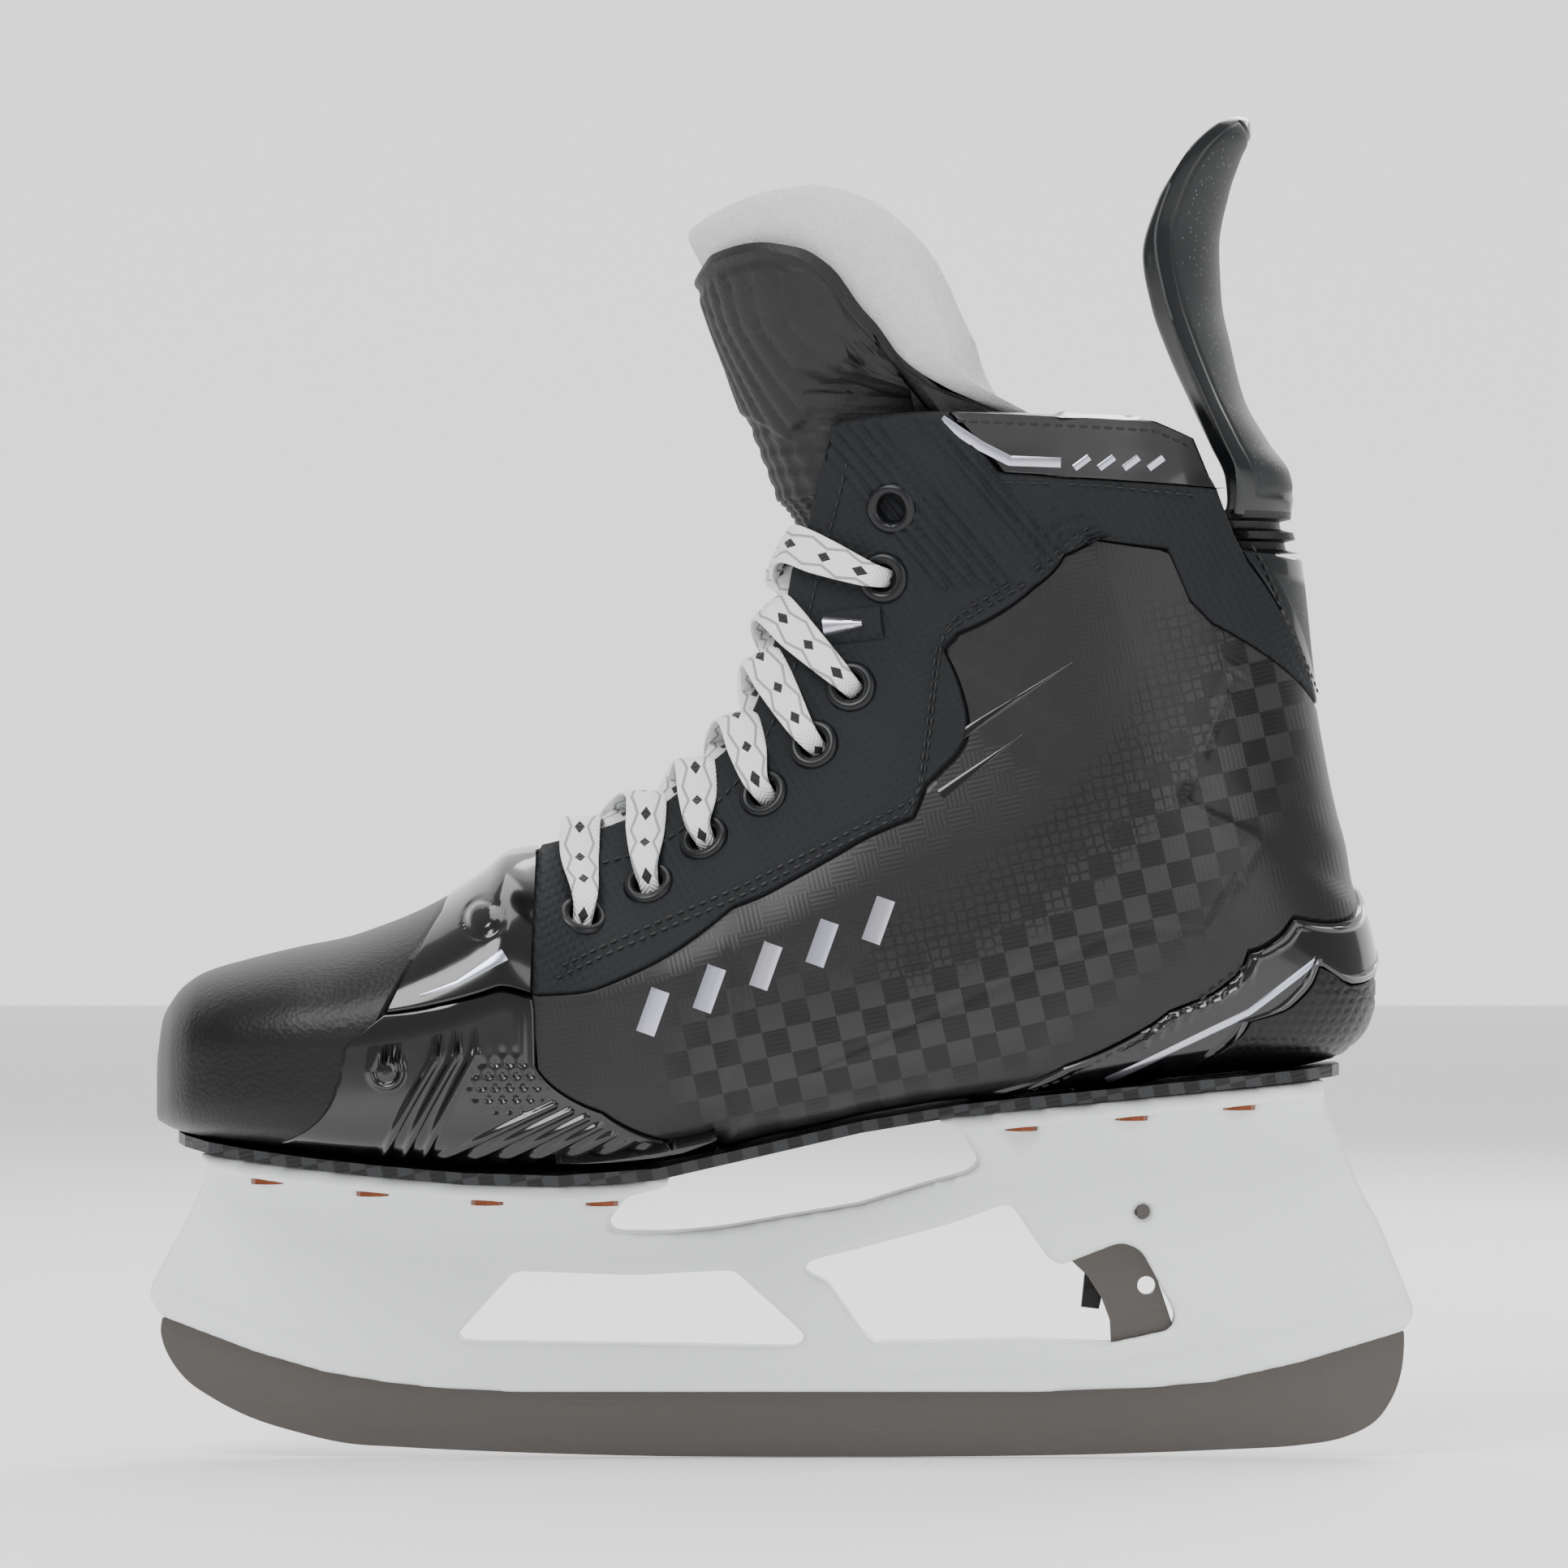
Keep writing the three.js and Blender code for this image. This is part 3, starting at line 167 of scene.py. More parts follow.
def locate(points):
    """u and turn of side-view points."""
    x, z = np.array(points, float).T
    u, d = to_fan(x, z)
    across = np.clip((d - inner(u)) / (outer(u) - inner(u)), 0, 1)
    c = 1 - 2 * across
    power = np.where(c > 0, front_power(u), back_power(u))
    return np.stack([u, np.arccos(np.sign(c) * np.abs(c) ** (power / 2))], -1)


def on_boot(x, z, side, inset=0.0):
    """A point of the skin at a side-view place, and the way out of the skin there."""
    def y_at(px, pz):
        u, d = to_fan(px, pz)
        front = inner(u) + inset
        return boot_y(u, (d - front) / (outer(u) - inset - front), inset)

    slope = [(y_at(x + 1, z) - y_at(x - 1, z)) / 2, (y_at(x, z + 1) - y_at(x, z - 1)) / 2]
    normal = np.array([-slope[0], side, -slope[1]])
    return np.array([x, side * y_at(x, z), z]), normal / np.linalg.norm(normal)


# ---------------------------------------------------------------- seams, seen from the side, as x, z
CAP_SEAM = [(-73, 140), (-75.3, 122.1), (-87.2, 100.7), (-110.6, 67), (-116, 50)]
# The turns at which the toe guard's front and rear seams pass under the foot.
CAP_HEM, GUARD_HEM = 2.3, 2.2
GUARD_SEAM = [(-54.5, 104.9), (-53.7, 89), (-39.1, 79.1), (-22.7, 72.6), (-14, 69.6)]
FACING_SEAM = [(-54.5, 104.9), (-10.1, 124.4), (29.1, 144), (31.8, 150.9), (36, 181.1), (38.9, 184.6),
               (55.7, 194.8), (69.1, 205.4), (85.2, 203.2), (90.1, 192.1), (95, 187.1), (119.5, 169)]
BASE_SEAM = [(100.3, 206.5), (103.4, 200.5), (119.5, 169)]
EDGE_SEAM = [(36.9, 233.4), (47.9, 220.2), (94.5, 217), (96.4, 216.8)]
COLLAR_TOP = [(37.4, 233.6), (82.4, 231.4), (91.4, 227.7), (96.4, 216.7)]
BAND_TOP = [(46.4, 83), (62, 89), (85.2, 100.9), (102.7, 113.9), (113.3, 121.7), (128.9, 128.4)]
BAND_LOW = [(70.7, 84), (103.6, 99), (119.1, 111.1), (125.9, 106.7), (133.4, 111.1)]
EYELETS = [(-43.9, 121.6), (-29.3, 128.8), (-17, 138.9), (-3.7, 148.9), (7.3, 159.9), (15.5, 172.7),
           (22.7, 197), (24.5, 212.4)]
UNDER = 2.85  # the turn at which a panel tucks under the sole


# ---------------------------------------------------------------- meshes
def mesh_object(name, points, faces, uv=None, attributes=None, crease=0.7):
    """A mesh in metres from points in millimetres. Its faces point out, and it is smooth but for creases."""
    points = np.asarray(points, float).reshape(-1, 3)
    faces = np.asarray(faces, int)
    a, b, c = (points[faces[:, k]] for k in (0, 1, 2))
    d = points[faces[:, -1]]
    volume = np.einsum("ij,ij->", a, np.cross(b, c)) + np.einsum("ij,ij->", a, np.cross(c, d))
    if volume < 0:
        faces = faces[:, ::-1]
    mesh = bpy.data.meshes.new(name)
    mesh.from_pydata((points * MM).tolist(), [], faces.tolist())
    if uv is not None:
        layer = mesh.uv_layers.new(name="skin")
        loops = np.empty(len(mesh.loops), int)
        mesh.loops.foreach_get("vertex_index", loops)
        layer.data.foreach_set("uv", np.asarray(uv, np.float32).reshape(-1, 2)[loops].ravel())
    for key, values in (attributes or {}).items():
        attribute = mesh.attributes.new(key, "FLOAT", "POINT")
        attribute.data.foreach_set("value", np.asarray(values, np.float32).ravel())
    mesh.polygons.foreach_set("use_smooth", [True] * len(mesh.polygons))
    mesh.set_sharp_from_angle(angle=crease)
    mesh.validate()
    thing = bpy.data.objects.new(name, mesh)
    bpy.context.scene.collection.objects.link(thing)
    return thing


def grid_faces(rows, cols, round_rows=False, round_cols=False):
    """Quads of a grid whose rows or columns may close on themselves."""
    i, j = np.meshgrid(np.arange(rows - (not round_rows)), np.arange(cols - (not round_cols)), indexing="ij")
    i, j = i.ravel(), j.ravel()
    k, m = (i + 1) % rows, (j + 1) % cols
    return np.stack([i * cols + j, k * cols + j, k * cols + m, i * cols + m], -1)


def grid_normals(grid):
    """Unit normals of a grid of points, from its two tangents."""
    normal = np.cross(np.gradient(grid, axis=0), np.gradient(grid, axis=1))
    return normal / np.maximum(np.linalg.norm(normal, axis=-1, keepdims=True), 1e-9)


def slab(name, top, bottom, round_cols=False, uv=None, attributes=None):
    """A closed wall between two grids of the same size, with a rim along its open borders."""
    rows, cols = top.shape[:2]
    count = rows * cols
    skin = grid_faces(rows, cols, round_cols=round_cols)
    line = np.arange(count).reshape(rows, cols)
    borders = [line[0], line[-1][::-1]]
    if round_cols:
        borders = [np.append(b, b[0]) for b in borders]
    else:
        borders += [line[::-1, 0], line[:, -1]]
    rims = [np.stack([b[:-1], b[1:], b[1:] + count, b[:-1] + count], -1) for b in borders]
    faces = np.concatenate([skin, skin[:, ::-1] + count, *rims])
    double = None if uv is None else np.concatenate([uv.reshape(-1, 2)] * 2)
    twice = {key: np.concatenate([value.ravel()] * 2) for key, value in (attributes or {}).items()}
    return mesh_object(name, np.concatenate([top.reshape(-1, 3), bottom.reshape(-1, 3)]), faces, double,
                       twice)


def lengths(grid, axis):
    """How far along each grid line each point is, and how far it is from the line's other end."""
    step = np.linalg.norm(np.diff(grid, axis=axis), axis=-1)
    start = np.zeros_like(np.take(step, [0], axis=axis))
    run = np.concatenate([start, np.cumsum(step, axis=axis)], axis=axis)
    return run, np.take(run, [-1], axis=axis) - run


def resample(points, count):
    """Evenly spaced points along a polyline."""
    points = np.asarray(points, float)
    run = np.concatenate([[0], np.cumsum(np.linalg.norm(np.diff(points, axis=0), axis=1))])
    at = np.linspace(0, run[-1], count)
    return np.stack([np.interp(at, run, points[:, k]) for k in range(points.shape[1])], -1)


def strip(pairs, cols):
    """Two facing borders of a panel in u and turn, from pairs of polylines that run side by side."""
    shares = [max(np.ptp(np.vstack(pair)[:, 0]), 6) for pair in pairs]
    first, second = [], []
    for (a, b), share in zip(pairs, shares):
        count = max(int(cols * share / sum(shares)), 4)
        first.append(resample(a, count)[bool(first):])
        second.append(resample(b, count)[bool(second):])
    return np.vstack(first), np.vstack(second)


def weave_between(first, second, rows, ease=1.0):
    """u and turn on a grid between two borders, each row a share of the way across."""
    t = (np.linspace(0, 1, rows) ** ease)[:, None, None]
    grid = first[None] * (1 - t) + second[None] * t
    return grid[..., 0], grid[..., 1]


def panel(name, u, turn, rise, depth=3.3, roll=0.9, edges="abcd", relief=None, closed=False, round_cols=False,
          marks=None):
    """A panel of the boot on a grid of u and turn: the skin raised by rise, rolled over at its edges, and
    given the relief of its moulding. Edges a and b are the first and last row, c and d the columns. marks
    gives the attributes that its finish is drawn by."""
    base = boot(u, turn, closed=closed)
    normal = grid_normals(base)
    outward = base - boot(u, turn, 2.0, closed)
    normal *= np.sign(np.einsum("ijk,ijk->", normal, outward))
    down, up = lengths(base, 0)
    left, right = lengths(base, 1)
    ways = {"a": down, "b": up, "c": left, "d": right}
    distance = np.minimum.reduce([np.full(down.shape, 1e3)] + [ways[e] for e in edges])
    shoulder = np.sqrt(1 - (1 - np.clip(distance / roll, 0, 1)) ** 2)
    height = (rise + 0.5) * shoulder - 0.5
    if relief is not None:
        height = height + relief(base, distance, ways) * np.clip(distance / roll - 0.5, 0, 1)
    uv = np.stack([left, down], -1) * MM
    attributes = {"edge": distance * MM, **(marks(base) if marks else {})}
    return slab(name, base + normal * height[..., None], base - normal * depth, round_cols, uv, attributes)


def sweep(name, rings, uv=None):
    """A closed skin over a run of rings, each end drawn in to its ring's middle."""
    ends = [ring.mean(0, keepdims=True).repeat(len(ring), 0)[None] for ring in (rings[0], rings[-1])]
    rings = np.concatenate([ends[0], rings, ends[1]])
    if uv is not None:
        uv = np.concatenate([uv[:1], uv, uv[-1:]])
    thing = mesh_object(name, rings, grid_faces(*rings.shape[:2], round_cols=True), uv)
    return weld(thing)


def weld(thing):
    """Joins the points that lie on each other, which closes poles and seams."""
    work = bmesh.new()
    work.from_mesh(thing.data)
    bmesh.ops.remove_doubles(work, verts=work.verts, dist=1e-6)
    work.to_mesh(thing.data)
    work.free()
    return thing


def skin_frames(path, side, rise=0.0):
    """Points, ways along and ways out of the skin along a path of u and turn."""
    u, turn = path[:, 0], path[:, 1]
    at = boot(u, turn * side)
    normal = np.cross(boot(u + 0.2, turn * side) - at, boot(u, (turn + 0.004) * side) - at)
    normal /= np.maximum(np.linalg.norm(normal, axis=1, keepdims=True), 1e-9)
    outward = at - boot(u, turn * side, 2.0)
    normal *= np.sign(np.einsum("ij,ij->i", normal, outward))[:, None]
    along = np.gradient(at, axis=0)
    along /= np.maximum(np.linalg.norm(along, axis=1, keepdims=True), 1e-9)
    return at + normal * rise, along, normal


def shifted(points, by):
    """A side-view line moved square to its run."""
    points = np.asarray(points, float)
    run = np.gradient(points, axis=0)
    run /= np.linalg.norm(run, axis=1, keepdims=True)
    return points + by * np.stack([-run[:, 1], run[:, 0]], -1)


def beads(name, middles, along, normal, size):
    """Small rounded beads: each is a ball stretched to a size along its run, across it and off the skin."""
    lap = np.linspace(0, 2 * np.pi, 7)[:-1]
    rise = np.linspace(-np.pi / 2, np.pi / 2, 6)
    ball = np.stack([np.sin(rise)[:, None] + 0 * lap, np.cos(rise)[:, None] * np.cos(lap),
                     np.cos(rise)[:, None] * np.sin(lap)], -1).reshape(-1, 3) * np.array(size) / 2
    across = np.cross(normal, along)
    frame_of = np.stack([along, across, normal], 1)
    points = middles[:, None] + np.einsum("vk,nkx->nvx", ball, frame_of)
    faces = grid_faces(6, 6, round_cols=True)
    faces = (faces[None] + (np.arange(len(middles)) * len(ball))[:, None, None]).reshape(-1, 4)
    return weld(mesh_object(name, points, faces))


def stitches(name, lines, sides, rise, spacing, by=0.0, size=(1.9, 0.65, 0.5)):
    """Rows of thread along side-view lines, each stitch a bead that lies in the run of the seam."""
    found = []
    for side in sides:
        for line in lines:
            fine = resample(shifted(resample(line, 60), by), 200)
            at, _, _ = skin_frames(locate(fine), side)
            run = np.concatenate([[0], np.cumsum(np.linalg.norm(np.diff(at, axis=0), axis=1))])
            places = np.arange(spacing / 2, run[-1], spacing)
            even = np.stack([np.interp(places, run, fine[:, k]) for k in (0, 1)], -1)
            found.append(skin_frames(locate(even), side, rise))
    return beads(name, *(np.concatenate([f[k] for f in found]) for k in range(3)), size)


def centripetal(points, count):
    """Points along a centripetal Catmull-Rom curve."""
    p = np.asarray(points, float)
    p = np.vstack([2 * p[0] - p[1], p, 2 * p[-1] - p[-2]])
    at = np.linspace(0, len(p) - 3, count)
    i = np.minimum(at.astype(int), len(p) - 4)
    t = (at - i)[:, None]
    p0, p1, p2, p3 = p[i], p[i + 1], p[i + 2], p[i + 3]
    d0, d1, d2 = (np.maximum(np.linalg.norm(b - a, axis=1, keepdims=True), 1e-6) ** 0.5
                  for a, b in ((p0, p1), (p1, p2), (p2, p3)))
    m1 = ((p1 - p0) / d0 - (p2 - p0) / (d0 + d1) + (p2 - p1) / d1) * d1
    m2 = ((p2 - p1) / d1 - (p3 - p1) / (d1 + d2) + (p3 - p2) / d2) * d1
    return p1 + m1 * t + (3 * (p2 - p1) - 2 * m1 - m2) * t ** 2 + (2 * (p1 - p2) + m1 + m2) * t ** 3


def plate(name, outline, low, high, bevel):
    """A flat plate of a side-view outline between two values of y, its edges bevelled."""
    work = bmesh.new()
    corners = [work.verts.new((x * MM, low * MM, z * MM)) for x, z in outline]
    face = work.faces.new(corners)
    grown = bmesh.ops.extrude_face_region(work, geom=[face])
    moved = [v for v in grown["geom"] if isinstance(v, bmesh.types.BMVert)]
    bmesh.ops.translate(work, verts=moved, vec=(0, (high - low) * MM, 0))
    bmesh.ops.recalc_face_normals(work, faces=work.faces)
    mesh = bpy.data.meshes.new(name)
    work.to_mesh(mesh)
    work.free()
    thing = bpy.data.objects.new(name, mesh)
    bpy.context.scene.collection.objects.link(thing)
    modifier = thing.modifiers.new("edges", "BEVEL")
    modifier.width = bevel * MM
    modifier.segments = 2
    modifier.angle_limit = 0.9
    modifier.harden_normals = False
    return thing


# ---------------------------------------------------------------- finishes
def linear(code):
    """A linear colour from an sRGB hex code."""
    value = np.array([int(code[k:k + 2], 16) for k in (0, 2, 4)]) / 255
    return tuple(float(v) for v in np.where(value <= 0.04045, value / 12.92,
                                            ((value + 0.055) / 1.055) ** 2.4))


def put(tree, kind, sockets=None, **settings):
    """Adds a node with its settings, and sets or links its sockets."""
    node = tree.nodes.new("ShaderNode" + kind)
    for key, value in settings.items():
        setattr(node, key, value)
    for key, value in (sockets or {}).items():
        if isinstance(value, bpy.types.NodeSocket):
            tree.links.new(value, node.inputs[key])
        else:
            node.inputs[key].default_value = value
    return node


def finish(name, colour, roughness, **sockets):
    """A material with its shader. Values that are the same all over are set on the shader's own sockets."""
    material = bpy.data.materials.new(name)
    material.use_nodes = True
    tree = material.node_tree
    shader = tree.nodes["Principled BSDF"]
    shader.inputs["Base Color"].default_value = (*colour, 1)
    shader.inputs["Roughness"].default_value = roughness
    for key, value in sockets.items():
        shader.inputs[key.replace("_", " ")].default_value = value
    return material, tree, shader


def place(tree, scale, turned=(0, 0, 0)):
    """Object coordinates, turned, and scaled from metres to one pattern step."""
    where = put(tree, "TexCoord").outputs["Object"]
    return put(tree, "Mapping", {"Vector": where, "Scale": scale, "Rotation": turned}).outputs["Vector"]


def bump(tree, shader, height, distance, strength=1.0):
    """Raises the surface by a height map, to a depth in metres."""
    node = put(tree, "Bump", {"Height": height, "Distance": distance, "Strength": strength})
    tree.links.new(node.outputs["Normal"], shader.inputs["Normal"])


def blend_colours(tree, shader, share, first, second):
    """Colours the surface between two colours by a share."""
    mix = put(tree, "Mix", {"Factor": share, 6: (*first, 1), 7: (*second, 1)}, data_type="RGBA")
    tree.links.new(mix.outputs[2], shader.inputs["Base Color"])


def moulded_satin_black(colours):
    # Injection-moulded polymer from a spark-eroded die: an even fine grain and a soft shine.
    material, tree, shader = finish("moulded_satin_black", colours.cap, 0.42, Specular_IOR_Level=0.35)
    grain = put(tree, "TexVoronoi", {"Vector": place(tree, (1, 1, 1)), "Scale": 1000 / 1.1})
    bump(tree, shader, grain.outputs["Distance"], 0.00012, 0.6)
    cloud = put(tree, "TexNoise", {"Vector": place(tree, (1, 1, 1)), "Scale": 60.0})
    blend_colours(tree, shader, cloud.outputs["Fac"], colours.cap_shade, colours.cap)
    return material


def glossy_polyurethane(colours):
    # Polyurethane film heat-moulded over a form: deep gloss with a slow ripple.
    material, tree, shader = finish("glossy_polyurethane", colours.gloss, 0.16, Coat_Weight=0.5,
                                    Coat_Roughness=0.06)
    ripple = put(tree, "TexNoise", {"Vector": place(tree, (1, 1, 1)), "Scale": 1000 / 9, "Detail": 1.0})
    bump(tree, shader, ripple.outputs["Fac"], 0.0003, 0.25)
    return material


def carbon_weave(name, base, dark, light, square, marked):
    # Carbon twill under a clear coat: squares of fibre that catch the light by turns. On a marked piece they
    # show through a smoked coat where the attribute "check" is high, beside a honeycomb where "comb" is.
    material, tree, shader = finish(name, base, 0.42, Specular_IOR_Level=0.35, Coat_Weight=0.1,
                                    Coat_Roughness=0.25)
    where = place(tree, (1, 1, 1), (0, 0.22, 0))
    axes = put(tree, "SeparateXYZ", {0: where})
    flat = put(tree, "CombineXYZ", {0: axes.outputs[0], 1: 0.0, 2: axes.outputs[2]}).outputs[0]
    squares = put(tree, "TexChecker", {"Vector": flat, "Scale": 1 / square, 1: (*dark, 1), 2: (*light, 1)})
    colour = squares.outputs["Color"]
    if marked:
        check = put(tree, "Attribute", attribute_name="check").outputs["Fac"]
        comb = put(tree, "Attribute", attribute_name="comb").outputs["Fac"]
        colour = put(tree, "Mix", {"Factor": check, 6: (*base, 1), 7: colour}, data_type="RGBA").outputs[2]
        cells = put(tree, "TexVoronoi", {"Vector": flat, "Scale": 1000 / 2.4, "Randomness": 0.3},
                    feature="DISTANCE_TO_EDGE")
        line = put(tree, "Math", {0: cells.outputs["Distance"], 1: 0.14}, operation="LESS_THAN").outputs[0]
        share = put(tree, "Math", {0: line, 1: comb}, operation="MULTIPLY").outputs[0]
        colour = put(tree, "Mix", {"Factor": share, 6: colour, 7: (*dark, 1)}, data_type="RGBA").outputs[2]
    tree.links.new(colour, shader.inputs["Base Color"])
    fibre = put(tree, "TexWave", {"Vector": flat, "Scale": 300.0}, bands_direction="X")
    other = put(tree, "TexWave", {"Vector": flat, "Scale": 300.0}, bands_direction="Z")
    strand = put(tree, "Mix", {0: squares.outputs["Fac"], 2: fibre.outputs["Fac"], 3: other.outputs["Fac"]})
    bump(tree, shader, strand.outputs[0], 0.00006, 0.5)
    return material


def woven_facing(colours):
    # Matte woven nylon laminate: crossed threads, drawn 0.9 mm apart so that they show.
    material, tree, shader = finish("woven_facing", colours.facing, 0.75, Specular_IOR_Level=0.25)
    warp = put(tree, "TexWave", {"Vector": place(tree, (1, 1, 1), (0, 0.5, 0)), "Scale": 1000 / 0.9 / 6.28},
               bands_direction="X")
    weft = put(tree, "TexWave", {"Vector": place(tree, (1, 1, 1), (0, 0.5, 0)), "Scale": 1000 / 0.9 / 6.28},
               bands_direction="Z")
    cross = put(tree, "Math", {0: warp.outputs["Fac"], 1: weft.outputs["Fac"]}, operation="MULTIPLY")
    bump(tree, shader, cross.outputs[0], 0.00025, 0.7)
    cloud = put(tree, "TexNoise", {"Vector": place(tree, (1, 1, 1)), "Scale": 45.0, "Detail": 4.0})
    blend_colours(tree, shader, cloud.outputs["Fac"], colours.facing_shade, colours.facing)
    return material


def brushed_lining(colours):
    # Brushed microfibre over foam: a short soft nap.
    material, tree, shader = finish("brushed_lining", colours.lining, 0.95, Sheen_Weight=0.1,
                                    Sheen_Roughness=0.6)
    nap = put(tree, "TexNoise", {"Vector": place(tree, (1, 1, 1)), "Scale": 1000 / 1.4, "Detail": 5.0})
    bump(tree, shader, nap.outputs["Fac"], 0.0005, 0.6)
    return material


def white_nylon(colours):
    # Moulded nylon, a little see-through at its edges, with a satin skin.
    material, tree, shader = finish("white_nylon", colours.holder, 0.34, Subsurface_Weight=0.12,
                                    Subsurface_Scale=0.002)
    skin = put(tree, "TexNoise", {"Vector": place(tree, (1, 1, 1)), "Scale": 1000 / 3.0, "Detail": 3.0})
    bump(tree, shader, skin.outputs["Fac"], 0.0001, 0.35)
    return material


def ground_steel(colours):
    # Stainless steel ground lengthwise: fine scratches along its run.
    material, tree, shader = finish("ground_steel", colours.steel, 0.3, Metallic=0.85)
    scratch = put(tree, "TexNoise", {"Vector": place(tree, (30, 30, 2200)), "Scale": 1.0, "Detail": 6.0})
    rough = put(tree, "MapRange", {"Value": scratch.outputs["Fac"], "To Min": 0.2, "To Max": 0.42})
    tree.links.new(rough.outputs[0], shader.inputs["Roughness"])
    bump(tree, shader, scratch.outputs["Fac"], 0.00004, 0.3)
    return material


def copper_rivet(colours):
    # Cold-headed copper, a little dulled.
    material, tree, shader = finish("copper_rivet", linear("7d4a35"), 0.35, Metallic=1.0)
    dull = put(tree, "TexNoise", {"Vector": place(tree, (1, 1, 1)), "Scale": 700.0})
    rough = put(tree, "MapRange", {"Value": dull.outputs["Fac"], "To Min": 0.25, "To Max": 0.5})
    tree.links.new(rough.outputs[0], shader.inputs["Roughness"])
    return material


def needled_felt(colours):
    # Needled wool and polyester felt: matted fibres with soft clumps and no shine.
    material, tree, shader = finish("needled_felt", colours.felt, 1.0, Sheen_Weight=0.5, Sheen_Roughness=0.7)
    clump = put(tree, "TexNoise", {"Vector": place(tree, (1, 1, 1)), "Scale": 1000 / 2.2, "Detail": 8.0,
                                   "Roughness": 0.7})
    fibre = put(tree, "TexNoise", {"Vector": place(tree, (1, 1, 1)), "Scale": 1000 / 0.8, "Detail": 4.0,
                                   "Distortion": 3.0})
    height = put(tree, "Math", {0: clump.outputs["Fac"], 1: fibre.outputs["Fac"]}, operation="ADD")
    bump(tree, shader, height.outputs[0], 0.0007, 0.8)
    blend_colours(tree, shader, clump.outputs["Fac"], colours.felt_shade, colours.felt)
    return material


def embossed_leather(colours):
    # Embossed synthetic leather: a tight pebble under a low shine.
    material, tree, shader = finish("embossed_leather", colours.tongue, 0.55, Specular_IOR_Level=0.35)
    pebble = put(tree, "TexVoronoi", {"Vector": place(tree, (1, 1, 1)), "Scale": 1000 / 1.3})
    bump(tree, shader, pebble.outputs["Distance"], 0.0002, 0.5)
    cloud = put(tree, "TexNoise", {"Vector": place(tree, (1, 1, 1)), "Scale": 70.0})
    blend_colours(tree, shader, cloud.outputs["Fac"], colours.tongue_shade, colours.tongue)
    return material


def flat_braid(colours):
    # Flat polyester braid: white with a row of dark diamonds between two grey zigzag tracers.
    material, tree, shader = finish("flat_braid", colours.lace, 0.82, Sheen_Weight=0.25, Sheen_Roughness=0.5)
    axes = put(tree, "SeparateXYZ", {0: put(tree, "UVMap", uv_map="skin").outputs[0]})
    along, across = axes.outputs[0], axes.outputs[1]
    step = put(tree, "Math", {0: along, 1: 0.009}, operation="DIVIDE").outputs[0]
    saw = put(tree, "Math", {0: step, 1: 0.5}, operation="PINGPONG").outputs[0]
    off = put(tree, "Math", {0: across}, operation="ABSOLUTE").outputs[0]
    wide = put(tree, "Math", {0: off, 1: 1 / 0.006}, operation="MULTIPLY").outputs[0]
    diamond = put(tree, "Math", {0: saw, 1: wide}, operation="ADD").outputs[0]
    dark = put(tree, "Math", {0: diamond, 1: 0.2}, operation="LESS_THAN").outputs[0]
    zig = put(tree, "Math", {0: saw, 1: 0.0026, 2: 0.0019}, operation="MULTIPLY_ADD").outputs[0]
    gap = put(tree, "Math", {0: off, 1: zig}, operation="SUBTRACT").outputs[0]
    gap = put(tree, "Math", {0: gap}, operation="ABSOLUTE").outputs[0]
    tracer = put(tree, "Math", {0: gap, 1: 0.00032}, operation="LESS_THAN").outputs[0]
    white = put(tree, "Mix", {"Factor": tracer, 6: (*colours.lace, 1), 7: (*linear("9a9da0"), 1)},
                data_type="RGBA").outputs[2]
    mix = put(tree, "Mix", {"Factor": dark, 6: white, 7: (*linear("1b1b1d"), 1)}, data_type="RGBA").outputs[2]
    tree.links.new(mix, shader.inputs["Base Color"])
    chevron = put(tree, "Math", {0: along, 1: off}, operation="ADD").outputs[0]
    plait = put(tree, "Math", {0: chevron, 1: 2 * np.pi / 0.0011}, operation="MULTIPLY").outputs[0]
    plait = put(tree, "Math", {0: plait}, operation="SINE").outputs[0]
    bump(tree, shader, plait, 0.00018, 0.6)
    return material


def speckled_plastic(colours):
    # Moulded thermoplastic with a fine pale speckle, polished along its rim.
    material, tree, shader = finish("speckled_plastic", colours.guard, 0.5)
    edge = put(tree, "Attribute", attribute_name="edge").outputs["Fac"]
    rough = put(tree, "MapRange", {"Value": edge, "From Min": 0.005, "From Max": 0.007, "To Min": 0.14,
                                   "To Max": 0.55})
    tree.links.new(rough.outputs[0], shader.inputs["Roughness"])
    speck = put(tree, "TexVoronoi", {"Vector": place(tree, (1, 1, 1)), "Scale": 1000 / 1.5})
    dot = put(tree, "MapRange", {"Value": speck.outputs["Distance"], "From Min": 0.12, "From Max": 0.2,
                                 "To Min": 0.35, "To Max": 0.0})
    side = put(tree, "MapRange", {"Value": edge, "From Min": 0.006, "From Max": 0.009})
    share = put(tree, "Math", {0: dot.outputs[0], 1: side.outputs[0]}, operation="MULTIPLY")
    blend_colours(tree, shader, share.outputs[0], colours.guard, linear("8b8f92"))
    return material


def black_enamel(colours):
    # Brass eyelets stoved in black enamel.
    material, tree, shader = finish("black_enamel", linear("17181a"), 0.3, Metallic=0.35)
    wear = put(tree, "TexNoise", {"Vector": place(tree, (1, 1, 1)), "Scale": 400.0})
    rough = put(tree, "MapRange", {"Value": wear.outputs["Fac"], "To Min": 0.22, "To Max": 0.42})
    tree.links.new(rough.outputs[0], shader.inputs["Roughness"])
    return material


def silver_foil(colours):
    # Transfer foil with a faint play of blue and rose as the surface turns.
    material, tree, shader = finish("silver_foil", linear("c4c8cf"), 0.26, Metallic=0.9)
    drift = put(tree, "TexNoise", {"Vector": place(tree, (1, 1, 1)), "Scale": 40.0, "Detail": 1.0})
    blend_colours(tree, shader, drift.outputs["Fac"], linear("a9b6cf"), linear("d8cfd6"))
    return material


